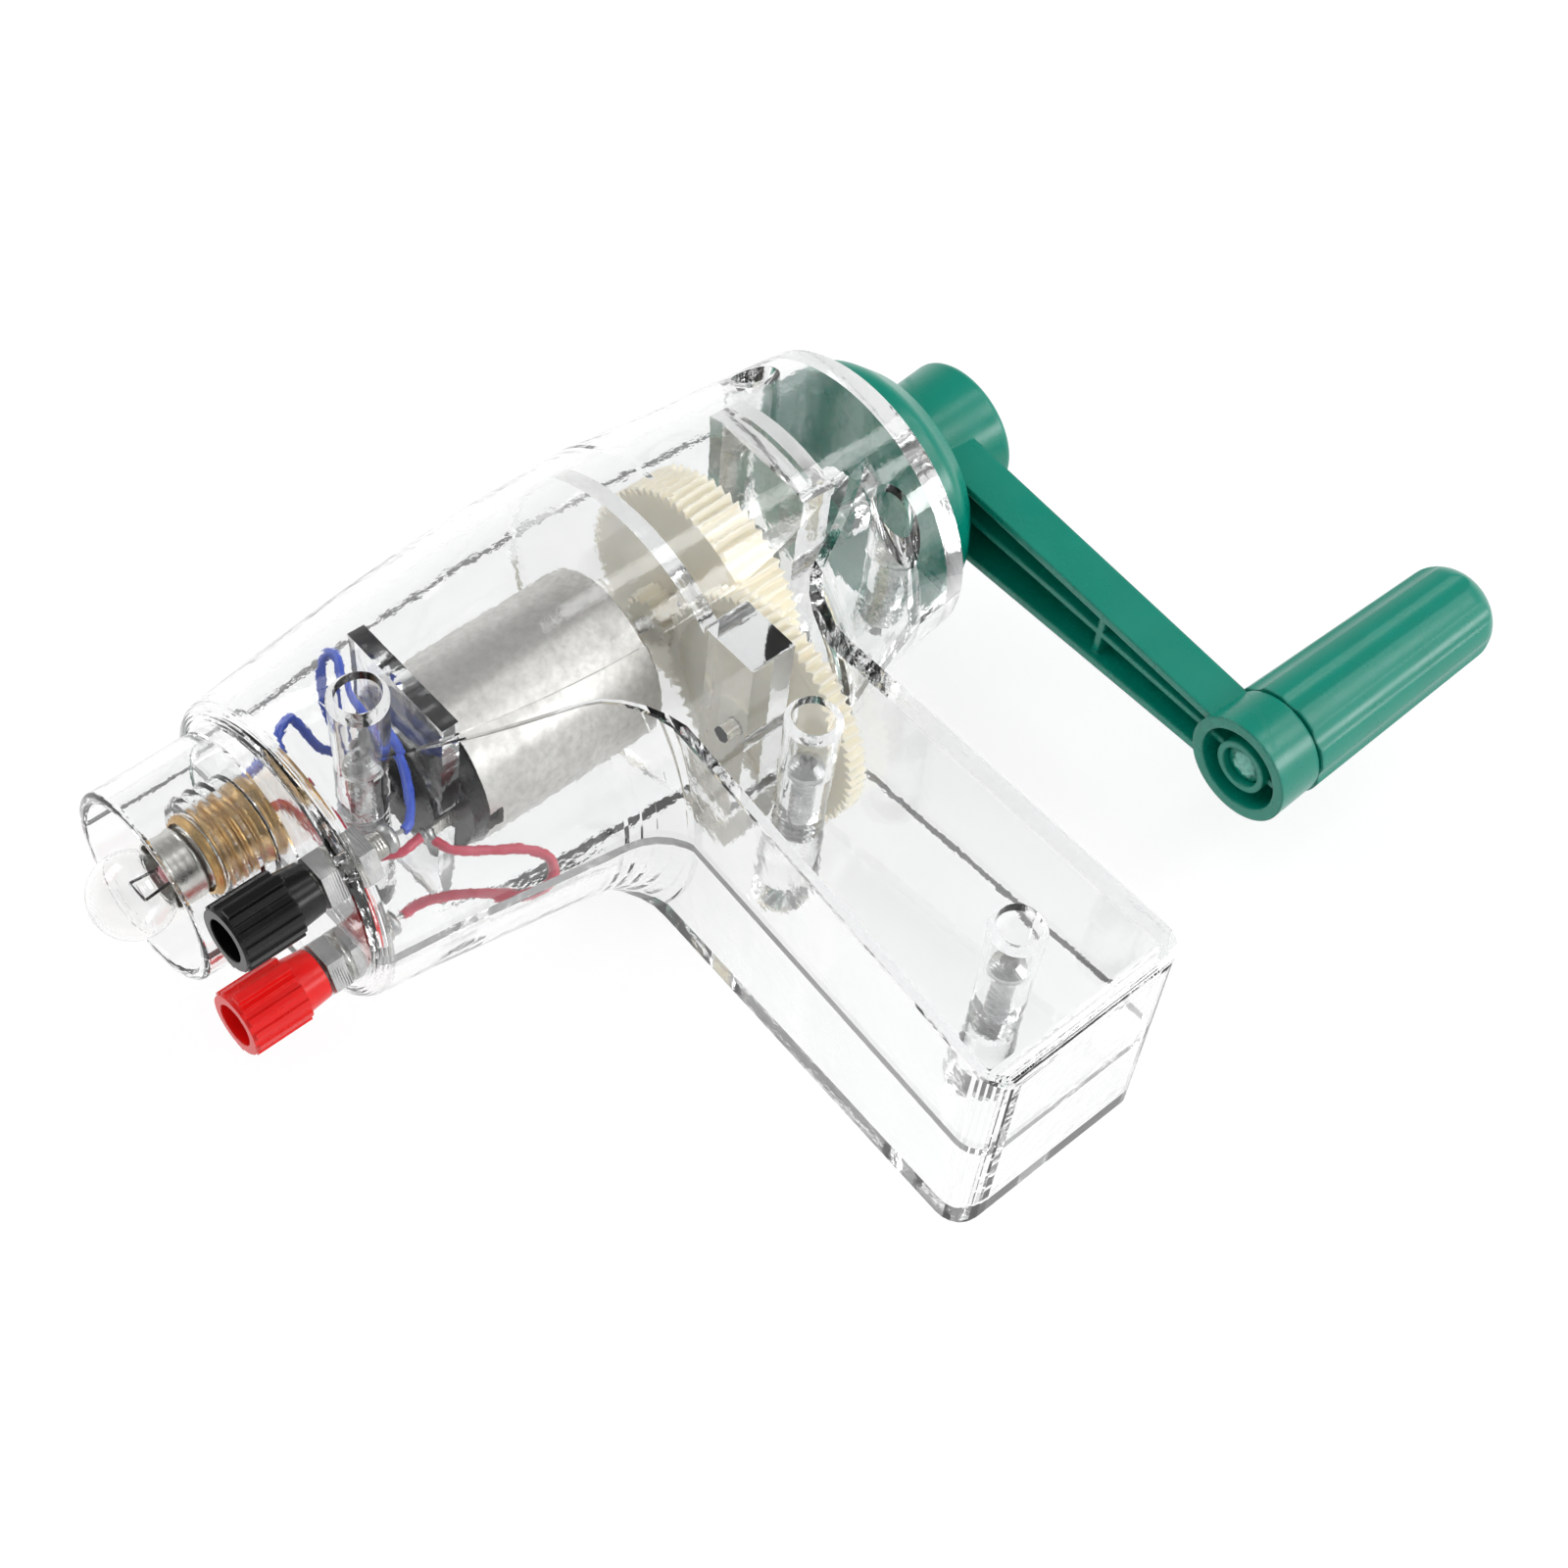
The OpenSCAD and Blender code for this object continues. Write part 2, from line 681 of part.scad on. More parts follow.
module case_half(side) {
    difference() {
        intersection() {
            union() {
                outer_form();
                hood();
            }
            half_space(side);
        }
        difference() {
            inner_form();
            rod(tail_inside - tail_boss_len, case_len, tail_boss_r);
            for (s = screw_spots) translate([s[0], s[1], 0]) rotate([side < 0 ? 180 : 0, 0, 0]) {
                cylinder(h = barrel_r, r1 = well_foot_r, r2 = well_r);
            }
        }
        rod(tail_inside - tail_boss_len - past, case_len + past, shaft_r + running);
        translate([0, lamp_y, 0]) rod(-past, face_wall + past, spigot_r + snug);
        for (z = post_spots) translate([0, -post_y, z]) rod(-past, face_wall + past, stud_r + snug);
    }
}

module upper_shell() {
    color([0.93, 0.94, 0.95, 0.35]) rest() difference() {
        case_half(1);
        for (s = screw_spots) translate([s[0], s[1], 0]) {
            translate([0, 0, well_floor]) {
                cylinder(h = barrel_r, r1 = well_foot_r - well_wall, r2 = well_r - well_wall);
            }
            cylinder(h = well_floor + past, r = screw_r + running);
        }
    }
}

module lower_shell() {
    color([0.93, 0.94, 0.95, 0.35]) rest() difference() {
        case_half(-1);
        for (s = screw_spots) translate([s[0], s[1], well_floor - screw_len - past]) {
            cylinder(h = screw_len, r = screw_r - thread_depth);
        }
    }
}

// One case screw standing at the middle of the case
module case_screw() {
    threads = floor((screw_len - screw_pitch) / screw_pitch);
    core = screw_r - thread_depth;
    translate([0, 0, well_floor]) difference() {
        rotate_extrude() polygon(concat(
            [[0, -screw_len], [core / 2, -screw_len]],
            [for (k = [0:threads - 1]) each [
                [core, -screw_len + screw_pitch * (k + 1 / 2)],
                [screw_r, -screw_len + screw_pitch * (k + 1)]
            ]],
            [
                [core, -screw_pitch / 4],
                [core, 0],
                [screw_head_r, 0],
                [screw_head_r, screw_head_h / 2],
                [screw_head_r / 2, screw_head_h],
                [0, screw_head_h]
            ]
        ));
        for (a = [0, 90]) rotate([0, 0, a]) {
            translate([-screw_head_r / 2, -recess_w / 2, screw_head_h - recess_depth]) {
                cube([screw_head_r, recess_w, recess_depth + past]);
            }
        }
    }
}

module case_screws() {
    color([0.72, 0.73, 0.75]) rest() for (s = screw_spots) translate([s[0], s[1], 0]) case_screw();
}

// Clear block that holds the nose of the motor, drawn above the axis
module saddle() {
    difference() {
        translate([saddle_from, -saddle_half, saddle_foot]) {
            cube([saddle_t, 2 * saddle_half, saddle_top - saddle_foot]);
        }
        rod(saddle_from - past, saddle_from + saddle_t + past, cap_step_r + seat_gap);
    }
}

module saddle_upper() {
    color([0.93, 0.94, 0.95, 0.35]) rest() saddle();
}

module saddle_lower() {
    color([0.93, 0.94, 0.95, 0.35]) rest() mirror([0, 0, 1]) saddle();
}

module gear_plate() {
    plate_r = barrel_r - case_wall - seat_gap;
    color([0.93, 0.94, 0.95, 0.35]) rest() difference() {
        union() {
            rod(plate_from, plate_from + plate_t, plate_r);
            translate([plate_from, -idler_y - block_w / 2, -block_half]) {
                cube([plate_t + block_depth, block_w, 2 * block_half]);
            }
        }
        rod(plate_from - past, plate_from + plate_t + past, can_boss_r + seat_gap);
        translate([0, -idler_y, 0]) rod(plate_from + plate_t / 2, block_to + past, axle_r + snug);
    }
}

module rear_bracket() {
    r_front = tail_at(bracket_from) - case_wall - seat_gap;
    r_back = tail_at(bracket_to) - case_wall - seat_gap;
    color([0.93, 0.94, 0.95, 0.35]) rest() difference() {
        intersection() {
            translate([bracket_from, -bracket_half, -barrel_r]) {
                cube([bracket_t, 2 * bracket_half, 2 * barrel_r]);
            }
            cone(bracket_from, bracket_to, r_front, r_back);
        }
        rod(bracket_from - past, bracket_to + past, shaft_r + running);
        for (side = [0, 1]) mirror([0, 0, side]) {
            translate([
                (bracket_from + bracket_to - bracket_slot_w) / 2,
                -bracket_half + bracket_slot_depth,
                r_back - bracket_slot_depth
            ]) cube([bracket_slot_w, 2 * (bracket_half - bracket_slot_depth), barrel_r]);
        }
    }
}

module motor_can() {
    color([0.66, 0.67, 0.68]) rest() difference() {
        union() {
            spin_x(rounded([
                [can_from, 0, 0],
                [can_from, can_r, 0],
                [can_to, can_r, can_round],
                [can_to, 0, 0]
            ]));
            rod(can_to - can_wall, can_to + can_boss_len, can_boss_r);
        }
        rod(can_from - past, can_to - can_wall, can_r - can_wall);
        rod(can_to - can_wall - past, can_to + can_boss_len + past, rotor_shaft_r + running);
        translate([can_from - past, -can_r, -can_notch_w / 2]) {
            cube([can_notch_depth + past, can_r / 2, can_notch_w]);
        }
    }
}

module motor_magnets() {
    color([0.2, 0.2, 0.22]) rest() for (side = [0, 1]) mirror([0, 0, side]) {
        along_x(core_from) linear_extrude(height = core_len) polygon(concat(
            [for (k = [0:nose_steps]) (can_r - can_wall - snug) * [
                cos(90 + magnet_angle * (k / nose_steps - 1 / 2)),
                sin(90 + magnet_angle * (k / nose_steps - 1 / 2))
            ]],
            [for (k = [nose_steps:-1:0]) magnet_r * [
                cos(90 + magnet_angle * (k / nose_steps - 1 / 2)),
                sin(90 + magnet_angle * (k / nose_steps - 1 / 2))
            ]]
        ));
    }
}

module motor_cap() {
    spigot_out = can_r - can_wall - snug;
    color([0.07, 0.07, 0.08]) rest() difference() {
        union() {
            rod(cap_disc_from, can_from, cap_r);
            rod(cap_step_from, cap_disc_from + past, cap_step_r);
            rod(cap_boss_from, cap_step_from + past, cap_boss_r);
            rod(can_from - past, can_from + cap_spigot, spigot_out);
        }
        rod(cap_boss_from - past, can_from + cap_spigot + past, rotor_shaft_r + running);
        rod(can_from, can_from + cap_spigot + past, spigot_out - can_wall);
    }
}

module motor_tags() {
    color([0.78, 0.7, 0.5]) rest() for (side = [0, 1]) mirror([0, side, 0]) {
        translate([tag_from, tag_y, -tag_w / 2]) cube([tag_len, tag_t, tag_w]);
    }
}

module idler_axle() {
    color([0.75, 0.76, 0.78]) rest() translate([0, -idler_y, 0]) {
        rod(plate_from + plate_t / 2, idler_to + clip_t + running + past, axle_r);
    }
}

module idler_clip() {
    color([0.75, 0.76, 0.78]) rest() translate([0, -idler_y, 0]) {
        tube(idler_to + running, idler_to + running + clip_t, clip_r, axle_r + snug);
    }
}

// Outline of a gear with curved flanks, a tooth stands at angle zero
function roll_angle(a) = tan(a) * 180 / PI - a;
function flank_at(teeth, r) = let(
    pitch_r = gear_module * teeth / 2,
    base_r = pitch_r * cos(flank_angle),
    lean = r > base_r ? acos(base_r / r) : 0
) 90 / teeth + roll_angle(flank_angle) - roll_angle(lean) - backlash / 4 / pitch_r * 180 / PI;
function gear_outline(teeth) = let(
    pitch_r = gear_module * teeth / 2,
    tip_r = pitch_r + gear_module * above_share,
    root_low = pitch_r - gear_module * below_share,
    radii = [root_low, pitch_r, tip_r]
) [
    for (t = [0:teeth - 1]) let(mid = 360 * t / teeth) each concat(
        [for (r = radii) r * [cos(mid - flank_at(teeth, r)), sin(mid - flank_at(teeth, r))]],
        [for (k = [2:-1:0]) let(a = mid + flank_at(teeth, radii[k])) radii[k] * [cos(a), sin(a)]]
    )
];

module gear_disc(teeth, from, width, turn) {
    along_x(from) rotate([0, 0, turn]) linear_extrude(height = width) polygon(gear_outline(teeth));
}

module motor_pinion() {
    color([0.93, 0.9, 0.82]) rest() difference() {
        gear_disc(pinion_teeth, idler_small_from - pinion_w, pinion_w, 180);
        rod(idler_small_from - pinion_w - past, idler_small_from + past, rotor_shaft_r + snug);
    }
}

module idler_gear() {
    rim_r = gear_module * (idler_large_teeth / 2 - below_share) - gear_rim;
    boss_r = gear_module * idler_small_teeth / 2;
    color([0.93, 0.9, 0.82]) rest() translate([0, -idler_y, 0]) difference() {
        union() {
            gear_disc(idler_large_teeth, idler_from, idler_large_w, 180 / idler_large_teeth);
            gear_disc(
                idler_small_teeth,
                idler_from + gear_web_drop,
                idler_large_w + idler_small_w - gear_web_drop,
                180 / idler_small_teeth
            );
        }
        rod(idler_from - past, idler_to + past, axle_r + running);
        tube(idler_from - past, idler_from + gear_web_drop, rim_r, boss_r);
    }
}

module crank_gear() {
    rim_r = gear_module * (crank_teeth / 2 - below_share) - gear_rim;
    gear_to = crank_gear_from + crank_gear_w;
    color([0.93, 0.9, 0.82]) rest() difference() {
        union() {
            gear_disc(crank_teeth, crank_gear_from, crank_gear_w, 0);
            rod(gear_to - past, gear_to + crank_gear_hub_len, crank_gear_hub_r);
        }
        rod(crank_gear_from - past, gear_to + crank_gear_hub_len + past, shaft_r + snug);
        tube(gear_to - gear_web_drop, gear_to + crank_gear_hub_len + past, rim_r, crank_gear_hub_r);
    }
}

module rotor_shaft() {
    color([0.75, 0.76, 0.78]) rest() rod(rotor_from, rotor_to, rotor_shaft_r);
}

module rotor_core() {
    core_to = core_from + core_len;
    color([0.5, 0.5, 0.52]) rest() difference() {
        rod(core_from, core_to, core_r);
        rod(core_from - past, core_to + past, rotor_shaft_r + snug);
        for (a = [0:2]) rotate([120 * a, 0, 0]) {
            translate([core_from - past, core_neck_r, -core_slot_w / 2]) {
                cube([core_len + 2 * past, core_r, core_slot_w]);
            }
        }
    }
}

// Copper shown as closed rings before and behind the core
module rotor_windings() {
    color([0.72, 0.42, 0.25]) rest() {
        tube(core_from - winding_over, core_from, winding_r, rotor_shaft_r + snug);
        tube(core_from + core_len, core_from + core_len + winding_over, winding_r, rotor_shaft_r + snug);
    }
}

module commutator() {
    color([0.72, 0.42, 0.25]) rest() {
        tube(
            core_from - winding_over - commutator_len,
            core_from - winding_over,
            commutator_r,
            rotor_shaft_r + snug
        );
    }
}

module crank_shaft() {
    color([0.75, 0.76, 0.78]) rest() rod(crank_gear_from, shaft_to, shaft_r);
}

module shaft_clip() {
    color([0.75, 0.76, 0.78]) rest() {
        tube(bracket_to + seat_gap, bracket_to + seat_gap + clip_t, shaft_clip_r, shaft_r + snug);
    }
}

// Outline of the arm seen from the front, drawn in by an inset
module arm_side(inset, from, to) {
    along_x(from) linear_extrude(height = to - from) polygon([
        [0, arm_half - inset],
        [-arm_taper_to, arm_half_end - inset],
        [-arm_reach, arm_half_end - inset],
        [-arm_reach, inset - arm_half_end],
        [-arm_taper_to, inset - arm_half_end],
        [0, inset - arm_half]
    ]);
}

module crank() {
    web_from = arm_to - arm_wall;
    arm_from = flange_to + arm_step;
    rib_from = arm_from + rib_drop;
    reach = 2 * (arm_reach + eye_r);
    bore_r = pin_r + running;
    color([0.06, 0.5, 0.42]) rest() difference() {
        union() {
            spin_x(rounded([
                [flange_from, 0, 0],
                [flange_from, flange_r, 0],
                [flange_from + (flange_to - flange_from) / 2, flange_r, flange_round],
                [flange_to, flange_back_r - flange_round / 2, flange_round / 2],
                [flange_to, 0, 0]
            ]));
            spin_x(rounded([
                [flange_to - past, 0, 0],
                [flange_to - past, hub_r, 0],
                [hub_to, hub_end_r, hub_round],
                [hub_to - hub_dish, 0, 0]
            ]));
            difference() {
                arm_side(0, arm_from, arm_to);
                arm_side(arm_wall, arm_from - past, web_from);
            }
            difference() {
                arm_side(arm_wall / 2, rib_from, arm_to);
                for (side = [1, -1]) translate([arm_to / 2, -reach / 2, side * (arm_half + rib_t) / 2]) {
                    cube([arm_to, reach, arm_half], center = true);
                }
            }
            translate([rib_from, -cross_rib_y - rib_t / 2, -arm_half_end]) {
                cube([web_from + past - rib_from, rib_t, 2 * arm_half_end]);
            }
            translate([0, -arm_reach, 0]) cone(flange_to, arm_to, eye_r + eye_flare, eye_r);
        }
        rod(flange_from - past, shaft_to, shaft_r + snug);
        translate([0, -arm_reach, 0]) {
            difference() {
                rod(flange_to - past, web_from, eye_r - eye_wall);
                rod(flange_to + rib_drop / 2, web_from + past, ring_r);
                translate([rib_from, -eye_r, -rib_t / 2]) cube([web_from + past - rib_from, 2 * eye_r, rib_t]);
            }
            rod(flange_to - past, arm_to + past, bore_r);
            rod(flange_to - past, head_from + pin_head_h + running, pin_head_r + running);
        }
    }
}

module knob_pin() {
    color([0.06, 0.5, 0.42]) rest() translate([0, -arm_reach, 0]) {
        rod(head_from, pin_to, pin_r);
        spin_x(rounded([
            [head_from, 0, 0],
            [head_from, pin_head_r, pin_head_h / 3],
            [head_from + pin_head_h, pin_head_r, 0],
            [head_from + pin_head_h, 0, 0]
        ]));
    }
}

module knob() {
    dome_from = knob_to - knob_dome;
    slope = atan((knob_r - knob_end_r) / (dome_from - knob_from));
    color([0.06, 0.5, 0.42]) rest() translate([0, -arm_reach, 0]) difference() {
        spin_x(concat(
            [[knob_from, 0], [knob_from, knob_r - snug], [knob_from + snug, knob_r]],
            [for (k = [0:2 * corner_steps]) let(a = 90 * k / (2 * corner_steps))
                [dome_from + knob_dome * sin(a), knob_end_r * cos(a)]]
        ));
        rod(knob_from - past, pin_to + past, pin_r + snug);
        for (k = [0:flute_count - 1]) rotate([360 * k / flute_count, 0, 0]) {
            translate([knob_from, knob_r - flute_depth + flute_r, 0]) rotate([0, 0, -slope]) {
                rod(-flute_r, knob_to - knob_from, flute_r);
            }
        }
    }
}

// Wave of a rolled thread along X
function wave(from, to, r, shift) = let(n = 8 * ceil((to - from) / roll_pitch)) [
    for (k = [0:n]) let(x = from + (to - from) * k / n) [x, r + shift + roll_h * cos(360 * x / roll_pitch)]
];
function turned(points) = [for (k = [len(points) - 1:-1:0]) points[k]];

module socket_shell() {
    color([0.83, 0.66, 0.33]) rest() translate([0, lamp_y, 0]) spin_x(concat(
        wave(-socket_rim, socket_foot, socket_r, 0),
        turned(wave(-socket_rim, socket_foot, socket_r, roll_wall))
    ));
}

module lamp_socket() {
    shell_hole = socket_r + roll_wall + roll_h + snug;
    ridges = floor(socket_body_len / roll_pitch);
    floor_from = socket_foot - roll_pitch;
    color([0.93, 0.94, 0.95, 0.35]) rest() translate([0, lamp_y, 0]) {
        difference() {
            union() {
                rod(-socket_body_len, 0, socket_body_r);
                for (k = [0:ridges - 1]) {
                    spin_x([
                        [-socket_body_len + roll_pitch * (k + 1 / 4), 0],
                        [-socket_body_len + roll_pitch * (k + 1 / 4), socket_body_r],
                        [-socket_body_len + roll_pitch * (k + 1 / 2), socket_body_r + socket_ridge],
                        [-socket_body_len + roll_pitch * (k + 3 / 4), socket_body_r],
                        [-socket_body_len + roll_pitch * (k + 3 / 4), 0]
                    ]);
                }
                rod(-past, spigot_to, spigot_r);
            }
            rod(-socket_body_len - past, spigot_to + past, shell_hole);
        }
        difference() {
            rod(floor_from, spigot_to, socket_r - roll_h - snug);
            rod(floor_from - past, spigot_to + past, stem_r + snug);
        }
    }
}

module socket_contact() {
    floor_from = socket_foot - roll_pitch;
    color([0.83, 0.66, 0.33]) rest() translate([0, lamp_y, 0]) {
        rod(floor_from - contact_t, floor_from, contact_r);
        rod(floor_from - contact_t / 2, stem_to, stem_r);
    }
}

module lamp_glass() {
    neck_x = -globe_x + sqrt(globe_r * globe_r - neck_r * neck_r);
    in_r = globe_r - glass_wall;
    in_neck = neck_r - glass_wall;
    in_x = -globe_x + sqrt(in_r * in_r - in_neck * in_neck);
    end_a = acos((neck_x + globe_x) / globe_r);
    end_b = acos((in_x + globe_x) / in_r);
    arcs = 4 * corner_steps;
    color([0.95, 0.96, 0.97, 0.35]) rest() translate([0, lamp_y, 0]) spin_x(concat(
        [for (k = [0:arcs]) let(a = 180 - (180 - end_a) * k / arcs)
            [globe_r * cos(a) - globe_x, globe_r * sin(a)]],
        [[roll_pitch - lamp_cap_rim, neck_r], [roll_pitch - lamp_cap_rim, in_neck]],
        [for (k = [arcs:-1:0]) let(a = 180 - (180 - end_b) * k / arcs)
            [in_r * cos(a) - globe_x, in_r * sin(a)]]
    ));
}

module lamp_cap() {
    color([0.8, 0.8, 0.82]) rest() translate([0, lamp_y, 0]) {
        spin_x(concat(
            [[-lamp_collar_to, lamp_collar_r - roll_wall]],
            wave(-lamp_cap_rim, -lamp_cap_foot, lamp_cap_r, -roll_wall),
            turned(wave(-lamp_cap_rim, -lamp_cap_foot, lamp_cap_r, 0)),
            [[-lamp_collar_to, lamp_collar_r]]
        ));
    }
}

module lamp_base() {
    floor_from = socket_foot - roll_pitch - contact_t - seat_gap;
    in_r = lamp_cap_r - roll_wall - roll_h - snug;
    color([0.1, 0.1, 0.11]) rest() translate([0, lamp_y, 0]) {
        rod(-lamp_cap_foot - roll_pitch, -lamp_cap_foot, in_r);
        cone(-lamp_cap_foot, floor_from - lamp_tip_r / 2, in_r, lamp_tip_r);
        translate([floor_from - lamp_tip_r, 0, 0]) sphere(r = lamp_tip_r);
    }
}

module lamp_bead() {
    color([0.75, 0.2, 0.2]) rest() translate([-bead_x, lamp_y, 0]) spin_x(concat(
        [for (k = [0:2 * corner_steps]) let(a = 180 - 180 * k / (2 * corner_steps))
            [bead_r * cos(a), 3 / 2 * bead_r * sin(a)]]
    ));
}

// Two straight supports that lean apart, and the thread between their tips
module lamp_wires() {
    foot_x = -lamp_cap_foot - roll_pitch;
    lean = atan((support_half - bead_r / 2) / (filament_x + foot_x));
    reach = (filament_x + foot_x) / cos(lean);
    color([0.72, 0.73, 0.75]) rest() translate([0, lamp_y, 0]) {
        for (side = [0, 1]) mirror([0, side, 0]) translate([foot_x, bead_r / 2, 0]) {
            rotate([0, 0, -lean]) rod(-reach, 0, support_r);
        }
        translate([-filament_x, -support_half, 0]) rotate([-90, 0, 0]) {
            cylinder(h = 2 * support_half, r = filament_r);
        }
    }
}

module post_studs() {
    color([0.83, 0.66, 0.33]) rest() for (z = post_spots) translate([0, -post_y, z]) {
        rod(-stud_front, stud_back, stud_r);
    }
}

// Two nuts on each post, one before and one behind the front face
module post_nuts() {
    nut_r = nut_flats / sqrt(3);
    back = face_wall + lug_t + snug;
    color([0.78, 0.78, 0.76]) rest() for (z = post_spots, from = [-nut_h - snug, back]) {
        translate([0, -post_y, z]) difference() {
            along_x(from) cylinder(h = nut_h, r = nut_r, $fn = 6);
            rod(from - past, from + nut_h + past, stud_r + snug);
        }
    }
}

module solder_lugs() {
    color([0.78, 0.7, 0.5]) rest() for (z = post_spots) translate([0, -post_y, z]) {
        tube(face_wall + snug / 2, face_wall + snug / 2 + lug_t, lug_r, stud_r + snug);
    }
}

// Domed drop of solder on each stud end
module solder_beads() {
    color([0.75, 0.76, 0.78]) rest() for (z = post_spots) translate([stud_back + snug, -post_y, z]) {
        spin_x(concat(
            [[0, 0]],
            [for (k = [0:2 * corner_steps]) let(a = 180 * k / (2 * corner_steps))
                [solder_r / 2 - solder_r * cos(a) / 2, solder_r * (1 + sin(a)) / 2]],
            [[solder_r, 0]]
        ));
    }
}

// Outline of the ribbed part of a post cap, four points for each rib
function rib_outline() = let(low = post_knob_r - post_rib_h, step = 360 / post_ribs) [
    for (k = [0:post_ribs - 1]) for (q = [
            [-rib_foot_share, low], [-rib_top_share, post_knob_r],
            [rib_top_share, post_knob_r], [rib_foot_share, low]
        ])
        q[1] * [cos(step * (k + q[0])), sin(step * (k + q[0]))]
];

// Screw on cap of a terminal post, drawn round the X axis
module post_cap() {
    difference() {
        union() {
            cone(-cap_shoulder - post_rib_h, -cap_back, collar_top_r, collar_r);
            rod(-cap_front, -cap_front + 2 * post_rib_h, post_knob_r - post_rib_h);
            along_x(-cap_front + post_rib_h) linear_extrude(height = cap_front - cap_shoulder - post_rib_h) {
                polygon(rib_outline());
            }
            translate([-cap_front + post_rib_h, -fin_w / 2, -post_knob_r - fin_h]) {
                cube([cap_front - cap_shoulder - post_rib_h, fin_w, 2 * (post_knob_r + fin_h)]);
            }
        }
        rod(-cap_front - past, mouth_len - cap_front, mouth_r);
        rod(-cap_front, sleeve_len - cap_front, sleeve_bore_r + sleeve_wall + snug);
        rod(-cap_front, past - cap_back, stud_r + running);
    }
}

module post_sleeve() {
    tube(mouth_len - cap_front, sleeve_len - cap_front, sleeve_bore_r + sleeve_wall, sleeve_bore_r);
}

module black_cap() {
    color([0.06, 0.06, 0.07]) rest() translate([0, -post_y, post_half]) post_cap();
}

module black_sleeve() {
    color([0.83, 0.66, 0.33]) rest() translate([0, -post_y, post_half]) post_sleeve();
}

module red_cap() {
    color([0.85, 0.1, 0.1]) rest() translate([0, -post_y, -post_half]) post_cap();
}

module red_sleeve() {
    color([0.83, 0.66, 0.33]) rest() translate([0, -post_y, -post_half]) post_sleeve();
}

// A lead is swept along a curve through its route points
function bend(p0, p1, p2, p3, t) = (
    2 * p1 + (p2 - p0) * t + (2 * p0 - 5 * p1 + 4 * p2 - p3) * t * t + (3 * p1 - p0 - 3 * p2 + p3) * t * t * t
) / 2;
function route(points) = let(n = len(points)) [
    points[0],
    for (i = [0:n - 2]) for (k = [1:lead_steps])
        bend(points[max(i - 1, 0)], points[i], points[i + 1], points[min(i + 2, n - 1)], k / lead_steps)
];
function sweep_points(path, side) = let(n = len(path)) [
    for (i = [0:n - 1]) let(
        t = unit(path[min(i + 1, n - 1)] - path[max(i - 1, 0)]),
        u = unit(cross(t, side)),
        w = cross(t, u)
    ) for (k = [0:lead_sides - 1])
        path[i] + lead_r * (cos(360 * k / lead_sides) * u + sin(360 * k / lead_sides) * w)
];
function sweep_faces(n) = concat(
    [[for (k = [0:lead_sides - 1]) k]],
    [for (i = [0:n - 2]) for (k = [0:lead_sides - 1]) [
        i * lead_sides + k,
        (i + 1) * lead_sides + k,
        (i + 1) * lead_sides + (k + 1) % lead_sides,
        i * lead_sides + (k + 1) % lead_sides
    ]],
    [[for (k = [lead_sides - 1:-1:0]) (n - 1) * lead_sides + k]]
);
module lead(points, side) {
    path = route(points);
    polyhedron(points = sweep_points(path, side), faces = sweep_faces(len(path)), convexity = 6);
}

// Route points of the leads
tag_face = tag_y + tag_t;
bead_end = stud_back + solder_r;
red_route = [
    [17.2, -tag_face, 0], [17.2, -10.3, 0], [18.2, -12.2, -0.5], [21.4, -14.2, -1.5], [25.5, -16.2, -2.5],
    [27.8, -18.4, -3.5], [27.4, -20, -4.5], [25, -20.2, -5.5], [21.6, -18.3, -6.5], [18, -15, -7.2],
    [14, -12.2, -8.6], [11.6, -11.5, -9.5], [bead_end, -11.5, -9.5]
];
blue_route = [
    [17.2, tag_face, 0], [17.2, 10.3, 0], [17.4, 13.2, 3.4], [18.8, 15.6, 6.8], [20.4, 16.2, 8.2],
    [20.6, 14.4, 8.8], [19.2, 11.6, 9], [18.2, 8.6, 9.6], [18.1, 4, 10], [18, 0, 9.8], [17, -4, 9.2],
    [14.4, -8.6, 9.2], [11.6, -11.5, 9.5], [bead_end, -11.5, 9.5]
];
blue_lamp_route = [
    [tag_from, 8.7, 0], [15, 8.7, 0], [13.8, 10, 1], [13.2, 12.6, 2.8], [12.4, 13.6, 4],
    [10.4, 12.8, 4.2], [7.6, 11, 3], [5.8, 10.6, 2.4], [socket_foot, 10.6, 2.4]
];
red_lamp_route = [
    [tag_from, -8.7, 0], [15, -8.7, 0], [12.4, -8.9, 0], [9.6, -6.6, -0.6], [8.4, -2, -0.8],
    [8, 3, -0.6], [7.2, 5.6, 0], [6.2, 6.1, 0], [stem_to, 6.1, 0]
];

module red_lead() {
    color([0.8, 0.08, 0.12]) rest() lead(red_route, [0, 0, 1]);
}

module blue_lead() {
    color([0.12, 0.25, 0.75]) rest() lead(blue_route, [1, 0, 0]);
}

module red_lamp_lead() {
    color([0.8, 0.08, 0.12]) rest() lead(red_lamp_route, [0, 0, 1]);
}

module blue_lamp_lead() {
    color([0.12, 0.25, 0.75]) rest() lead(blue_lamp_route, [0, 0, 1]);
}

upper_shell();
lower_shell();
case_screws();
saddle_upper();
saddle_lower();
gear_plate();
rear_bracket();
motor_can();
motor_magnets();
motor_cap();
motor_tags();
idler_axle();
idler_clip();
lamp_socket();
socket_shell();
socket_contact();
post_studs();
post_nuts();
solder_lugs();
solder_beads();
red_lead();
blue_lead();
red_lamp_lead();
blue_lamp_lead();
rotor_shaft();
rotor_core();
rotor_windings();
commutator();
motor_pinion();
idler_gear();
crank_shaft();
crank_gear();
shaft_clip();
crank();
knob_pin();
knob();
lamp_glass();
lamp_cap();
lamp_base();
lamp_bead();
lamp_wires();
black_cap();
black_sleeve();
red_cap();
red_sleeve();
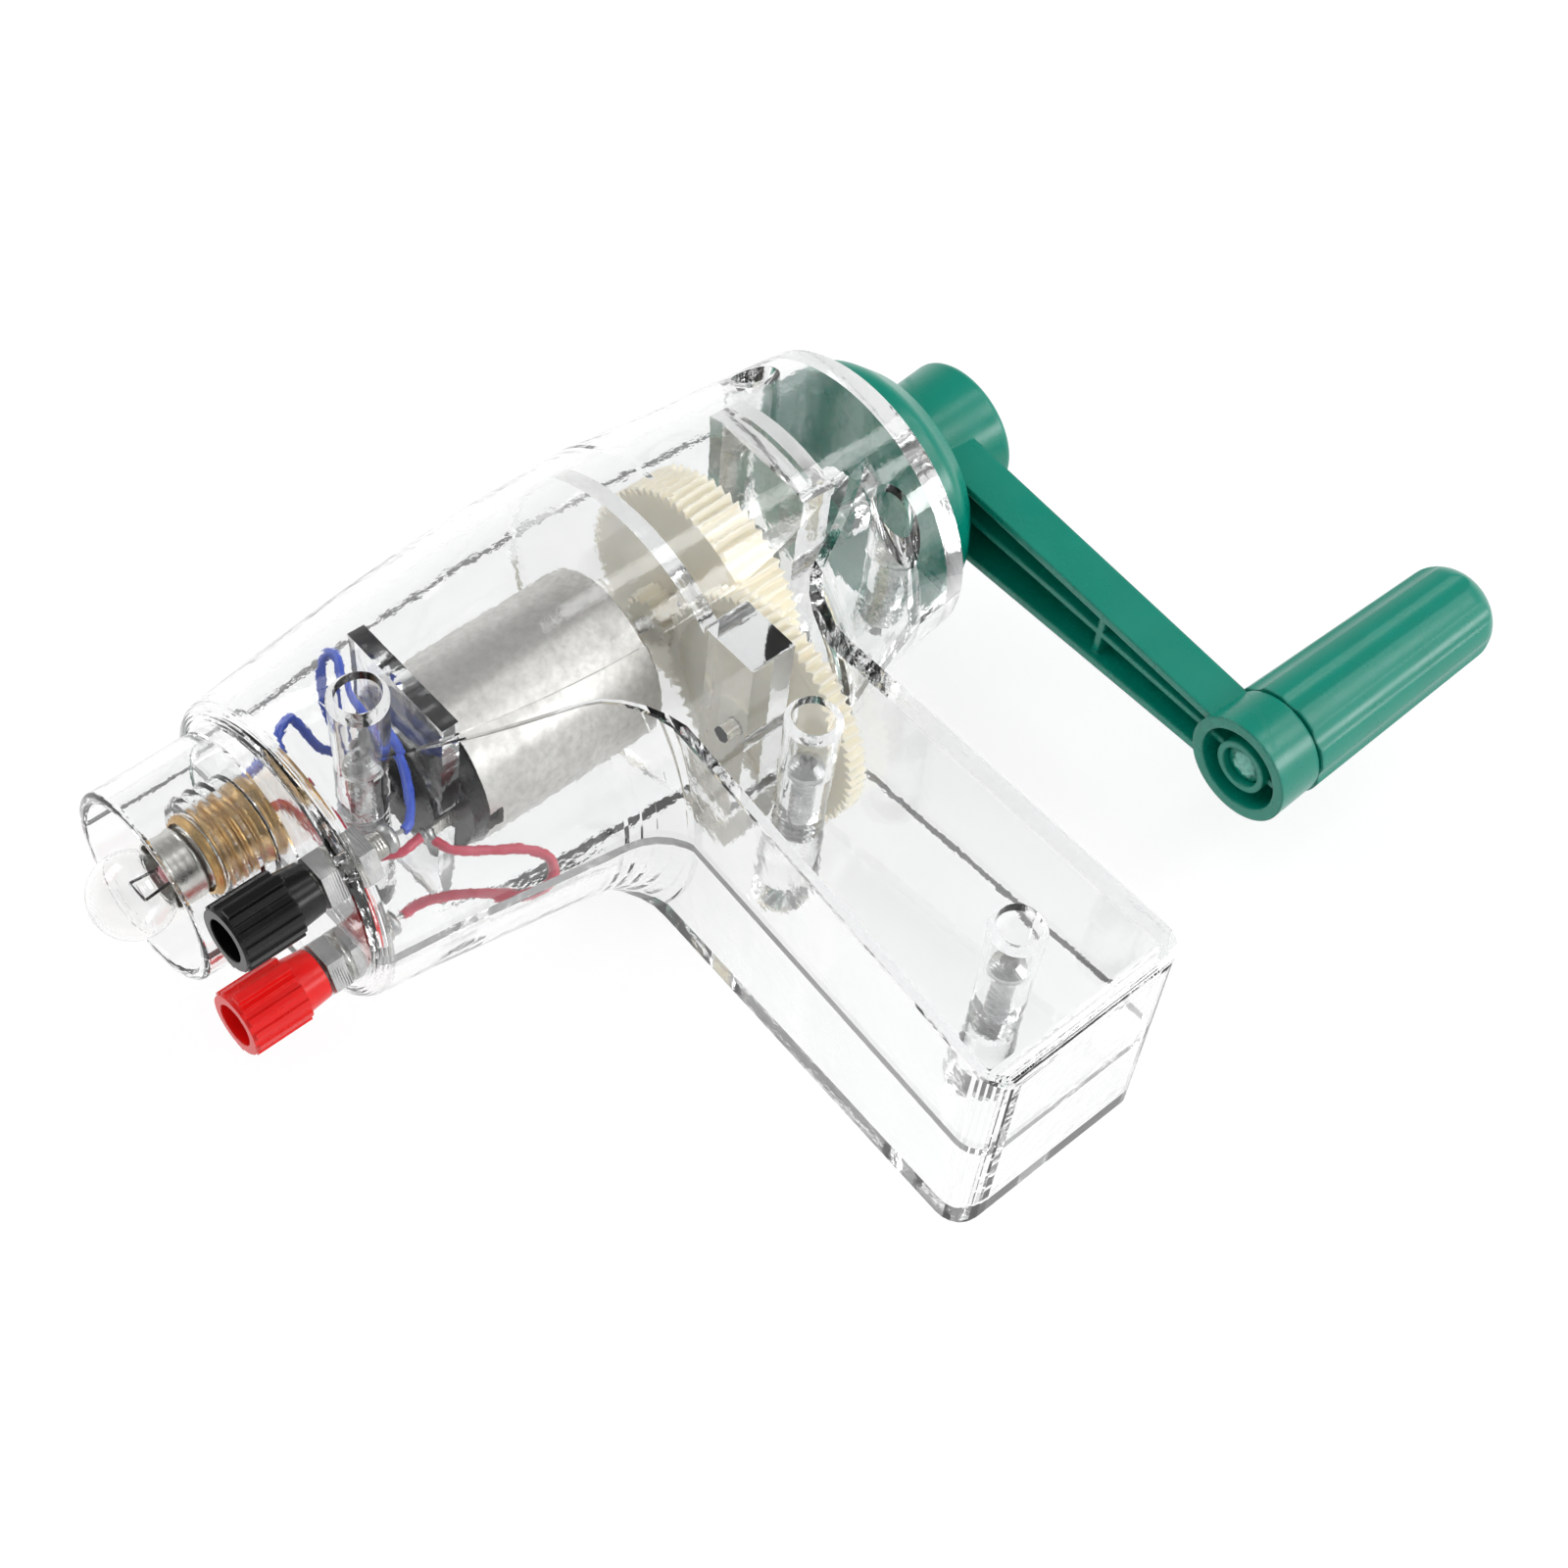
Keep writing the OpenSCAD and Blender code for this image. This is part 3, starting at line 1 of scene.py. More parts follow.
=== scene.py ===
# %% [markdown]
# # Hand crank generator
# A clear plastic case shows a small motor, three gear wheels, a lamp and two terminal posts.
# A green crank drives the gears. The shapes come from the CAD model, so this lesson is about
# finishes: clear plastic, moulded plastic, metal and wire, and the light that shows them.

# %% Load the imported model
import json
from math import pi

import bmesh
import bpy
from mathutils import Matrix, Vector, noise


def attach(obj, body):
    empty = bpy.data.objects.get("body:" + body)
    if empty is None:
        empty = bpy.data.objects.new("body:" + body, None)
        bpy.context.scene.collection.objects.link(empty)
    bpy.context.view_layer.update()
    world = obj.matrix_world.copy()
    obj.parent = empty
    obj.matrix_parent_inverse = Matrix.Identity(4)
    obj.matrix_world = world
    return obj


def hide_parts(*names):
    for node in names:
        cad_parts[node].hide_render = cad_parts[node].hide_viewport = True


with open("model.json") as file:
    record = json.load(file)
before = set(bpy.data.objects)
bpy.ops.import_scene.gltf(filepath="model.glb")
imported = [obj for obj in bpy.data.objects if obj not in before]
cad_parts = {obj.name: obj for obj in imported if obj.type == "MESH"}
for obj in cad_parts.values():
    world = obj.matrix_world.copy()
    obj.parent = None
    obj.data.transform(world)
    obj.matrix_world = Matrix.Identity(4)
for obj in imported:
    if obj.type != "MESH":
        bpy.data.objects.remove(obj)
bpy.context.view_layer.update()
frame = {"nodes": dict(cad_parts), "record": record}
nodes_of_part = frame["nodes"]
scene = bpy.context.scene
scene.view_settings.view_transform = "Standard"

# %% [markdown]
# ## Camera
# The photograph looks down at the part from beside the lamp, about 51 degrees above the table.
# The camera could be aimed with a constraint, but its place, its roll and its lens were worked
# out from the photograph, so its matrix is written directly. The small shift keeps the part
# where the photograph has it.

# %% Camera
camera_right = Vector((0.73899, -0.67305, 0.02997))
camera_up = Vector((0.51147, 0.58943, 0.62528))
camera_place = Vector((-0.179424, -0.179255, 0.319944))

camera_data = bpy.data.cameras.new("photo_camera")
camera_data.sensor_fit = "HORIZONTAL"
camera_data.sensor_width = 36.0
camera_data.lens = 69.986
camera_data.shift_x = -0.01655
camera_data.shift_y = 0.0380
camera_data.clip_start = 0.01
camera_data.clip_end = 50.0
camera = bpy.data.objects.new("photo_camera", camera_data)
scene.collection.objects.link(camera)
turn = Matrix((camera_right, camera_up, camera_right.cross(camera_up))).transposed()
camera.matrix_world = Matrix.Translation(camera_place) @ turn.to_4x4()
scene.camera = camera
distance = round(camera_place.length * 1000)
print("camera", distance, "mm from the origin, lens", round(camera_data.lens, 1), "mm")

# %% [markdown]
# ## Helpers for nodes
# The floor, the world and all finishes are trees of nodes. A few functions take up what
# repeats in them: an empty tree, two values put together, a value that is stretched, and a
# choice between two shaders.

# %% Helpers for nodes
def plain_tree(owner):
    """The node tree of a material or a world, with nothing in it."""
    owner.use_nodes = True
    owner.node_tree.nodes.clear()
    return owner.node_tree


def grey(value):
    return (value, value, value, 1)


def combine(tree, how, first, second):
    """Two values put together by a Math node. Each is a number or a socket."""
    node = tree.nodes.new("ShaderNodeMath")
    node.operation = how
    for place, value in enumerate((first, second)):
        if isinstance(value, (int, float)):
            node.inputs[place].default_value = value
        else:
            tree.links.new(value, node.inputs[place])
    return node.outputs[0]


def map_range(tree, source, low, high, to_low, to_high):
    """The source, stretched so that low becomes to_low and high becomes to_high."""
    node = tree.nodes.new("ShaderNodeMapRange")
    node.inputs["From Min"].default_value = low
    node.inputs["From Max"].default_value = high
    node.inputs["To Min"].default_value = to_low
    node.inputs["To Max"].default_value = to_high
    tree.links.new(source, node.inputs["Value"])
    return node.outputs["Result"]


def choose(tree, mask, first, second, out):
    """The output shows the first shader where the mask is 0 and the second where it is 1."""
    choice = tree.nodes.new("ShaderNodeMixShader")
    tree.links.new(mask, choice.inputs["Fac"])
    tree.links.new(first, choice.inputs[1])
    tree.links.new(second, choice.inputs[2])
    tree.links.new(choice.outputs[0], out.inputs["Surface"])


def seen_rays(tree):
    """1 for camera, mirror and glass rays, 0 for the rest."""
    path = tree.nodes.new("ShaderNodeLightPath")
    direct = combine(
        tree, "MAXIMUM", path.outputs["Is Camera Ray"], path.outputs["Is Glossy Ray"]
    )
    return combine(tree, "MAXIMUM", direct, path.outputs["Is Transmission Ray"])


print("helpers ready")

# %% [markdown]
# ## Floor
# The floor is plain and pale. Rays that come straight from the camera, or through glass or off
# metal, see it close to white. Part of what they see is its own light, so the shadow of the
# part stays soft and thin, as in the photograph.

# %% Floor
floor_glow = 0.76
bounce_grey = 0.8
paper_grey = 0.32
floor_half_width = 4.0
floor_height = -0.0002

floor_paper = bpy.data.materials.new("floor_paper")
tree = plain_tree(floor_paper)
out = tree.nodes.new("ShaderNodeOutputMaterial")
bounce = tree.nodes.new("ShaderNodeBsdfDiffuse")
bounce.inputs["Color"].default_value = grey(bounce_grey)
paper = tree.nodes.new("ShaderNodeBsdfDiffuse")
paper.inputs["Color"].default_value = grey(paper_grey)
glow = tree.nodes.new("ShaderNodeEmission")
glow.inputs["Strength"].default_value = floor_glow
both = tree.nodes.new("ShaderNodeAddShader")
tree.links.new(paper.outputs[0], both.inputs[0])
tree.links.new(glow.outputs[0], both.inputs[1])
choose(tree, seen_rays(tree), bounce.outputs[0], both.outputs[0], out)

floor_mesh = bpy.data.meshes.new("floor")
bm = bmesh.new()
bmesh.ops.create_grid(bm, x_segments=1, y_segments=1, size=floor_half_width)
bmesh.ops.translate(bm, vec=(0, 0, floor_height), verts=bm.verts)
bm.to_mesh(floor_mesh)
bm.free()
floor_mesh.materials.append(floor_paper)
floor = bpy.data.objects.new("floor", floor_mesh)
scene.collection.objects.link(floor)
print("floor", floor_half_width * 2, "m wide")

# %% [markdown]
# ## Light
# A light tent gives light from all sides, so the world carries most of it. What mirrors and
# glass see of the world is white near the table, dark high up and paler again overhead, and
# that draws the grey lines along the edges of the clear case.

# %% World
tent_strength = 0.6
dark_band = (0.22, 0.222, 0.225, 1)

world = bpy.data.worlds.new("light_tent")
scene.world = world
tree = plain_tree(world)
out = tree.nodes.new("ShaderNodeOutputWorld")
tent = tree.nodes.new("ShaderNodeBackground")
tent.inputs["Color"].default_value = grey(1)
tent.inputs["Strength"].default_value = tent_strength
mirrored = tree.nodes.new("ShaderNodeBackground")
place_in_sky = tree.nodes.new("ShaderNodeTexCoord")
height = tree.nodes.new("ShaderNodeSeparateXYZ")
fade = tree.nodes.new("ShaderNodeValToRGB")
stops = fade.color_ramp.elements
stops[0].position = 0.02
stops[0].color = grey(1)
stops[1].position = 0.5
stops[1].color = dark_band
for place, value in ((0.25, 0.7), (0.86, 0.2), (0.96, 0.5)):
    stop = stops.new(place)
    stop.color = grey(value)
tree.links.new(place_in_sky.outputs["Generated"], height.inputs[0])
tree.links.new(height.outputs["Z"], fade.inputs["Fac"])
tree.links.new(fade.outputs["Color"], mirrored.inputs["Color"])
choose(tree, seen_rays(tree), tent.outputs[0], mirrored.outputs[0], out)
print("world strength", tent_strength, "with", len(stops), "greys for mirrors")

# %% [markdown]
# A ray that looks into this part goes through many walls of clear plastic, and in the thick
# edges it is thrown to and fro. With the usual limits it would be cut off and show black, so
# the limits are raised.

# %% Ray limits
clear_walls = 32
mirror_bounces = 12
scene.cycles.max_bounces = clear_walls
scene.cycles.transmission_bounces = clear_walls
scene.cycles.transparent_max_bounces = clear_walls
scene.cycles.glossy_bounces = mirror_bounces
print("rays may cross", clear_walls, "clear surfaces")

# %% [markdown]
# Four soft lamps add to the tent. The main one stands where the photograph's own lamp was,
# and its mirror image lies on the motor and the knob. A long one above draws a line of light,
# a low one at the side lights the edge of the eye, and one behind fills.

# %% Lamps
lit_point = Vector((0, 0, 0.02))


def soft_lamp(name, place, width, length, watts):
    data = bpy.data.lights.new(name, "AREA")
    data.shape = "RECTANGLE"
    data.size, data.size_y = width, length
    data.energy = watts
    lamp = bpy.data.objects.new(name, data)
    lamp.location = place
    lamp.rotation_euler = (lit_point - Vector(place)).to_track_quat("-Z", "Y").to_euler()
    scene.collection.objects.link(lamp)


# Place, width, length and watts.
lamps = {
    "lamp_above": ((0.78, -0.12, 1.1), 0.2, 0.9, 1.7),
    "lamp_back": ((-0.25, 0.8, 0.7), 0.8, 0.4, 2.4),
    "lamp_main": ((0.74, -0.6, 0.92), 0.42, 0.4, 2.4),
    "lamp_side": ((0.8, -1.02, 0.42), 0.5, 0.3, 4.5),
}
for name, settings in lamps.items():
    soft_lamp(name, *settings)
print(len(lamps), "lamps")

# %% [markdown]
# ## Effects that several finishes share
# Moulded plastic, turned metal and clear plastic have a few traces in common: cloudy patches
# where hands and air have been, fine scratches, corners that were rubbed, the skin that a
# mould leaves and the rings of a lathe. Each is one node group, built once.

# %% Helpers for node groups
def effect(title, takes, gives):
    """An empty node group, with its input node and its output node."""
    tree = bpy.data.node_groups.new(title, "ShaderNodeTree")
    for name, kind, value in takes:
        socket = tree.interface.new_socket(name=name, in_out="INPUT", socket_type=kind)
        socket.default_value = value
    for name, kind in gives:
        tree.interface.new_socket(name=name, in_out="OUTPUT", socket_type=kind)
    return tree, tree.nodes.new("NodeGroupInput"), tree.nodes.new("NodeGroupOutput")


def object_noise(tree, scale, **values):
    """A noise that keeps its place on the object. The scale is a socket."""
    where = tree.nodes.new("ShaderNodeTexCoord")
    cloud = tree.nodes.new("ShaderNodeTexNoise")
    for name, value in values.items():
        cloud.inputs[name].default_value = value
    tree.links.new(where.outputs["Object"], cloud.inputs["Vector"])
    tree.links.new(scale, cloud.inputs["Scale"])
    return cloud


print("helpers for groups ready")

# %% Cloudy patches
patches, given, gives = effect(
    "cloudy patches",
    [("Scale", "NodeSocketFloat", 60.0), ("Detail", "NodeSocketFloat", 4.0)],
    [("Value", "NodeSocketFloat")],
)
cloud = object_noise(patches, given.outputs["Scale"], Roughness=0.6)
patches.links.new(given.outputs["Detail"], cloud.inputs["Detail"])
value = map_range(patches, cloud.outputs["Fac"], 0.3, 0.7, 0, 1)
patches.links.new(value, gives.inputs["Value"])
print("cloudy patches:", len(patches.nodes), "nodes")

# %% [markdown]
# A scratch is long and thin. Noise that is squeezed in one direction is a bundle of streaks,
# and only its highest ridges are kept. The turn lets a finish lay two bundles across each other.

# %% Fine scratches
ridge_top = 0.8

scratches, given, gives = effect(
    "fine scratches",
    [
        ("Scale", "NodeSocketFloat", 400.0),
        ("Squeeze", "NodeSocketVector", (1.0, 0.04, 0.04)),
        ("Turn", "NodeSocketVector", (0.0, 0.0, 0.0)),
        ("Share", "NodeSocketFloat", 0.66),
    ],
    [("Mask", "NodeSocketFloat"), ("Grain", "NodeSocketFloat")],
)
where = scratches.nodes.new("ShaderNodeTexCoord")
turned = scratches.nodes.new("ShaderNodeVectorRotate")
turned.rotation_type = "EULER_XYZ"
squeezed = scratches.nodes.new("ShaderNodeVectorMath")
squeezed.operation = "MULTIPLY"
streak = scratches.nodes.new("ShaderNodeTexNoise")
streak.inputs["Detail"].default_value = 2.0
limit = scratches.nodes.new("ShaderNodeMapRange")
limit.inputs["From Max"].default_value = ridge_top
scratches.links.new(where.outputs["Object"], turned.inputs["Vector"])
scratches.links.new(given.outputs["Turn"], turned.inputs["Rotation"])
scratches.links.new(turned.outputs[0], squeezed.inputs[0])
scratches.links.new(given.outputs["Squeeze"], squeezed.inputs[1])
scratches.links.new(squeezed.outputs[0], streak.inputs["Vector"])
scratches.links.new(given.outputs["Scale"], streak.inputs["Scale"])
scratches.links.new(streak.outputs["Fac"], limit.inputs["Value"])
scratches.links.new(given.outputs["Share"], limit.inputs["From Min"])
scratches.links.new(limit.outputs["Result"], gives.inputs["Mask"])
scratches.links.new(streak.outputs["Fac"], gives.inputs["Grain"])
print("fine scratches:", len(scratches.nodes), "nodes")

# %% [markdown]
# Corners wear first. A Bevel node gives the direction that a rounded corner would have, and
# where it differs from the true direction there is a corner. Moulded plastics also take that
# direction for their own, so their corners catch the light as real ones do.

# %% Rubbed edges
bevel_samples = 4

rubbed, given, gives = effect(
    "rubbed edges",
    [("Radius", "NodeSocketFloat", 0.0004), ("Breakup", "NodeSocketFloat", 300.0)],
    [("Mask", "NodeSocketFloat"), ("Normal", "NodeSocketVector")],
)
soft = rubbed.nodes.new("ShaderNodeBevel")
soft.samples = bevel_samples
true = rubbed.nodes.new("ShaderNodeNewGeometry")
same = rubbed.nodes.new("ShaderNodeVectorMath")
same.operation = "DOT_PRODUCT"
cloud = object_noise(rubbed, given.outputs["Breakup"])
rubbed.links.new(given.outputs["Radius"], soft.inputs["Radius"])
rubbed.links.new(soft.outputs[0], same.inputs[0])
rubbed.links.new(soft.outputs[0], gives.inputs["Normal"])
rubbed.links.new(true.outputs["Normal"], same.inputs[1])
corner = map_range(rubbed, same.outputs["Value"], 0.995, 0.85, 0, 1)
broken = map_range(rubbed, cloud.outputs["Fac"], 0.35, 0.6, 0.2, 1)
rubbed.links.new(combine(rubbed, "MULTIPLY", corner, broken), gives.inputs["Mask"])
print("rubbed edges:", len(rubbed.nodes), "nodes")

# %% [markdown]
# A mould leaves two reliefs on plastic: a fine grain, and slow waves where the plastic flowed.

# %% Mould skin
grain_share = 0.25

mould_skin, given, gives = effect(
    "mould skin",
    [("Scale", "NodeSocketFloat", 900.0), ("Wave scale", "NodeSocketFloat", 45.0)],
    [("Height", "NodeSocketFloat"), ("Flow", "NodeSocketFloat")],
)
fine = object_noise(mould_skin, given.outputs["Scale"], Detail=3.0)
slow = object_noise(mould_skin, given.outputs["Wave scale"], Detail=1.0, Distortion=1.5)
grain = combine(mould_skin, "MULTIPLY", fine.outputs["Fac"], grain_share)
height = combine(mould_skin, "ADD", grain, slow.outputs["Fac"])
mould_skin.links.new(height, gives.inputs["Height"])
mould_skin.links.new(slow.outputs["Fac"], gives.inputs["Flow"])
print("mould skin:", len(mould_skin.nodes), "nodes")

# %% [markdown]
# Every shaft, wheel and cap of this part turns about a line along X, so the rings of the
# lathe are bands along X, with a little noise so that no two are alike.

# %% Lathe rings
lathe_rings, given, gives = effect(
    "lathe rings",
    [("Scale", "NodeSocketFloat", 500.0), ("Distortion", "NodeSocketFloat", 1.2)],
    [("Height", "NodeSocketFloat")],
)
where = lathe_rings.nodes.new("ShaderNodeTexCoord")
rings = lathe_rings.nodes.new("ShaderNodeTexWave")
rings.wave_type = "BANDS"
rings.bands_direction = "X"
rings.inputs["Detail"].default_value = 3.0
rings.inputs["Detail Scale"].default_value = 2.0
lathe_rings.links.new(where.outputs["Object"], rings.inputs["Vector"])
lathe_rings.links.new(given.outputs["Scale"], rings.inputs["Scale"])
lathe_rings.links.new(given.outputs["Distortion"], rings.inputs["Distortion"])
lathe_rings.links.new(rings.outputs["Fac"], gives.inputs["Height"])
print("lathe rings:", len(lathe_rings.nodes), "nodes")

# %% [markdown]
# ## Tools for the finishes
# A finish starts from a Principled shader. Three helpers put in an effect, mix two colours by
# a mask and turn a height into a bump, so that each finish below stays short.

# %% Helpers for finishes
def linear(code):
    """A colour written as on a paint card, such as 00927D, for the shader."""
    values = [int(code[i:i + 2], 16) / 255 for i in (0, 2, 4)]
    lit = [v / 12.92 if v <= 0.04045 else ((v + 0.055) / 1.055) ** 2.4 for v in values]
    return (*lit, 1.0)


def new_finish(title, roughness=0.4, metallic=0.0, ior=1.5):
    material = bpy.data.materials.new(title + "_finish")
    tree = plain_tree(material)
    out = tree.nodes.new("ShaderNodeOutputMaterial")
    skin = tree.nodes.new("ShaderNodeBsdfPrincipled")
    skin.inputs["Roughness"].default_value = roughness
    skin.inputs["Metallic"].default_value = metallic
    skin.inputs["IOR"].default_value = ior
    tree.links.new(skin.outputs["BSDF"], out.inputs["Surface"])
    return material, tree, skin


def put(tree, group, **values):
    """An effect in a finish. Wave_scale sets the input that is called Wave scale."""
    node = tree.nodes.new("ShaderNodeGroup")
    node.node_tree = group
    for name, value in values.items():
        node.inputs[name.replace("_", " ")].default_value = value
    return node


def tint(tree, mask, low, high):
    """A colour that goes from low to high with the mask. Each end is a colour or a socket."""
    node = tree.nodes.new("ShaderNodeMix")
    node.data_type = "RGBA"
    tree.links.new(mask, node.inputs[0])
    for place, value in ((6, low), (7, high)):
        if isinstance(value, tuple):
            node.inputs[place].default_value = value
        else:
            tree.links.new(value, node.inputs[place])
    return node.outputs[2]


def raise_skin(tree, skin, height, strength, distance, direction=None):
    """A relief on the skin, on top of a direction that another node gives."""
    bump = tree.nodes.new("ShaderNodeBump")
    if direction:
        tree.links.new(direction, bump.inputs["Normal"])
    bump.inputs["Strength"].default_value = strength
    bump.inputs["Distance"].default_value = distance
    tree.links.new(height, bump.inputs["Height"])
    tree.links.new(bump.outputs["Normal"], skin.inputs["Normal"])


def let_light_in(skin, share, reach):
    skin.inputs["Subsurface Weight"].default_value = share
    skin.inputs["Subsurface Radius"].default_value = reach
    skin.inputs["Subsurface Scale"].default_value = 1.0


finishes = {}
print("pure red is", linear("FF0000"))

# %% [markdown]
# ## Clear plastic
# The case, the saddles, the round plate and the lamp socket are moulded in clear plastic. It
# is nearly colourless, with a slight wave from the mould, finger marks and hair scratches.
# Lamps can't shine through a glass shader, so a Mix Shader swaps in Transparent for shadow
# rays, and the motor and gears inside stay bright.

# %% Clear plastic
mark_shade = 0.985
mark_roughness = 0.03
hair_roughness = 0.12
hair_depth = 0.15
clear_bump = 0.35
clear_relief = 0.0002


def clear_finish(title, colour, ior, roughness, shade, wave):
    material, tree, skin = new_finish(title, roughness, 0.0, ior)
    skin.inputs["Transmission Weight"].default_value = 1.0
    marks = put(tree, patches, Scale=70.0, Detail=5.0)
    hairs = put(
        tree, scratches, Scale=260.0, Squeeze=(1.0, 0.03, 0.5), Turn=(0.0, 0.0, 0.6), Share=0.7
    )
    cross = put(
        tree, scratches, Scale=300.0, Squeeze=(0.05, 1.0, 0.4), Turn=(0.2, 0.0, -0.4), Share=0.72
    )
    body = put(tree, mould_skin, Scale=600.0, Wave_scale=35.0)
    marked = tuple(mark_shade * c for c in colour[:3]) + (1.0,)
    tree.links.new(tint(tree, marks.outputs[0], colour, marked), skin.inputs["Base Color"])
    both = combine(tree, "MAXIMUM", hairs.outputs["Mask"], cross.outputs["Mask"])
    smudge = map_range(tree, marks.outputs[0], 0.55, 1.0, roughness, roughness + mark_roughness)
    scratch = combine(tree, "MULTIPLY", both, hair_roughness)
    tree.links.new(combine(tree, "ADD", smudge, scratch), skin.inputs["Roughness"])
    slow = combine(tree, "MULTIPLY", body.outputs["Height"], wave)
    height = combine(tree, "SUBTRACT", slow, combine(tree, "MULTIPLY", both, hair_depth))
    raise_skin(tree, skin, height, clear_bump, clear_relief)
    through = tree.nodes.new("ShaderNodeBsdfTransparent")
    through.inputs["Color"].default_value = shade
    path = tree.nodes.new("ShaderNodeLightPath")
    out = next(node for node in tree.nodes if node.type == "OUTPUT_MATERIAL")
    choose(tree, path.outputs["Is Shadow Ray"], skin.outputs["BSDF"], through.outputs[0], out)
    return material


# Colour, index of refraction, roughness, what a shadow keeps of the light, and wave.
clear = {
    "clear_plastic": ((0.985, 0.99, 0.99, 1), 1.49, 0.02, (0.98, 0.983, 0.983, 1), 1.0),
    "lamp_glass": ((0.99, 0.99, 0.985, 1), 1.50, 0.005, (0.96, 0.96, 0.955, 1), 0.4),
}
for title, recipe in clear.items():
    finishes[title] = clear_finish(title, *recipe)
print("clear finishes:", list(clear))

# %% [markdown]
# ## Moulded plastics
# The crank and knob are green, the gear wheels cream, the post caps black and red. All are
# moulded: a satin skin with slow flow marks, a paler line where corners were rubbed, and
# fine scratches. The cream wheels let a little light in.

# %% Moulded plastic
moulded_relief = 0.0002
moulded_hair_depth = 0.4
moulded_hair_roughness = 0.18
light_reach = (0.0012, 0.001, 0.0008)


def moulded_finish(
    title, colour, deep, worn, roughness, depth, wear=0.5, scatter=0.0, corner=0.0003, gloss=0.4
):
    material, tree, skin = new_finish(title, roughness)
    skin.inputs["Specular IOR Level"].default_value = gloss
    body = put(tree, mould_skin, Scale=1100.0, Wave_scale=55.0)
    marks = put(tree, patches, Scale=120.0, Detail=6.0)
    hairs = put(
        tree, scratches, Scale=500.0, Squeeze=(1.0, 0.05, 0.3), Turn=(0.3, 0.1, 0.5), Share=0.68
    )
    edges = put(tree, rubbed, Radius=corner, Breakup=350.0)
    flow = tint(tree, body.outputs["Flow"], linear(deep), linear(colour))
    worn_mask = combine(tree, "MULTIPLY", edges.outputs["Mask"], wear)
    tree.links.new(tint(tree, worn_mask, flow, linear(worn)), skin.inputs["Base Color"])
    smudge = map_range(tree, marks.outputs[0], 0.0, 1.0, roughness - 0.05, roughness + 0.07)
    scratch = combine(tree, "MULTIPLY", hairs.outputs["Mask"], moulded_hair_roughness)
    tree.links.new(combine(tree, "ADD", smudge, scratch), skin.inputs["Roughness"])
    groove = combine(tree, "MULTIPLY", hairs.outputs["Mask"], moulded_hair_depth)
    height = combine(tree, "SUBTRACT", body.outputs["Height"], groove)
    raise_skin(tree, skin, height, depth, moulded_relief, edges.outputs["Normal"])
    if scatter:
        let_light_in(skin, scatter, light_reach)
    return material


# Colour, its deeper and its worn form, roughness, depth of the skin, and then how far the
# corners are worn, how much light goes in, how round the corners look, and gloss.
moulded = {
    "green_plastic": ("00927D", "008570", "2FB29E", 0.27, 0.12, 0.3, 0.0, 0.0006, 0.5),
    "gear_plastic": ("FFF8E9", "FBF2DE", "FFFEF8", 0.45, 0.3, 0.4, 0.4),
    "black_plastic": ("0E0E0E", "080809", "343434", 0.24, 0.2),
    "red_plastic": ("FB1A18", "E81110", "F8625B", 0.24, 0.2, 0.4, 0.1),
    "melted_green": ("A8E4D7", "3FB39C", "EAF9F5", 0.16, 1.0, 1.0),
}
for title, recipe in moulded.items():
    finishes[title] = moulded_finish(title, *recipe)
print("moulded finishes:", list(moulded))

# %% [markdown]
# ## Metals
# The motor can is bare zinc plated steel, mottled and brushed round. Shafts, screws and nuts
# are bright and turned. Brass threads go brown in their roots. Each is the same recipe: a
# pale and a dull colour mixed by patches, fine streaks, and rings or grain as the relief.

# %% Metal
metal_relief = 0.0001
metal_corner = 0.0002
streak_roughness = 0.2


def metal_finish(
    title, bright, dull, roughness, spread, rings, depth, squeeze=(0.06, 1.0, 1.0), speck=260.0
):
    material, tree, skin = new_finish(title, roughness, 1.0)
    marks = put(tree, patches, Scale=speck, Detail=8.0)
    streaks = put(tree, scratches, Scale=420.0, Squeeze=squeeze, Share=0.6)
    edges = put(tree, rubbed, Radius=metal_corner, Breakup=500.0)
    turned = put(tree, lathe_rings, Scale=rings, Distortion=1.4)
    base = tint(tree, marks.outputs[0], linear(dull), linear(bright))
    worn = tint(tree, edges.outputs["Mask"], base, linear(bright))
    tree.links.new(worn, skin.inputs["Base Color"])
    smudge = map_range(tree, marks.outputs[0], 0.0, 1.0, roughness + spread, roughness)
    scratch = combine(tree, "MULTIPLY", streaks.outputs["Mask"], streak_roughness)
    tree.links.new(combine(tree, "ADD", smudge, scratch), skin.inputs["Roughness"])
    height = combine(tree, "ADD", turned.outputs["Height"], streaks.outputs["Grain"])
    raise_skin(tree, skin, height, depth, metal_relief)
    return material


# Bright and dull colour, roughness and its spread, rings and their depth, and for some the
# direction of the streaks and the size of the patches.
metals = {
    "motor_steel": ("DEDCD9", "C1BFBC", 0.36, 0.09, 90.0, 0.1, (0.9, 0.07, 0.07), 900.0),
    "bright_steel": ("DCDCDA", "A9AAAB", 0.18, 0.12, 900.0, 0.25),
    "brass": ("E9C68B", "AC824B", 0.22, 0.2, 700.0, 0.2),
    "dark_wire": ("6A6466", "3A3537", 0.3, 0.15, 900.0, 0.1),
    "plated_brass": ("D9D8D3", "A9A7A1", 0.2, 0.14, 700.0, 0.25),
    "solder": ("D5D5D3", "9C9D9E", 0.24, 0.22, 200.0, 0.15, (0.8, 0.8, 0.8), 500.0),
    "lamp_nickel": ("E6E5E1", "C4C3BF", 0.24, 0.1, 300.0, 0.1),
    "copper": ("C9743B", "7E3B1B", 0.3, 0.12, 1400.0, 0.7),
    "core_steel": ("8A8A8A", "4E4E50", 0.45, 0.15, 1000.0, 1.0),
}
for title, recipe in metals.items():
    finishes[title] = metal_finish(title, *recipe)
print("metals:", list(metals))

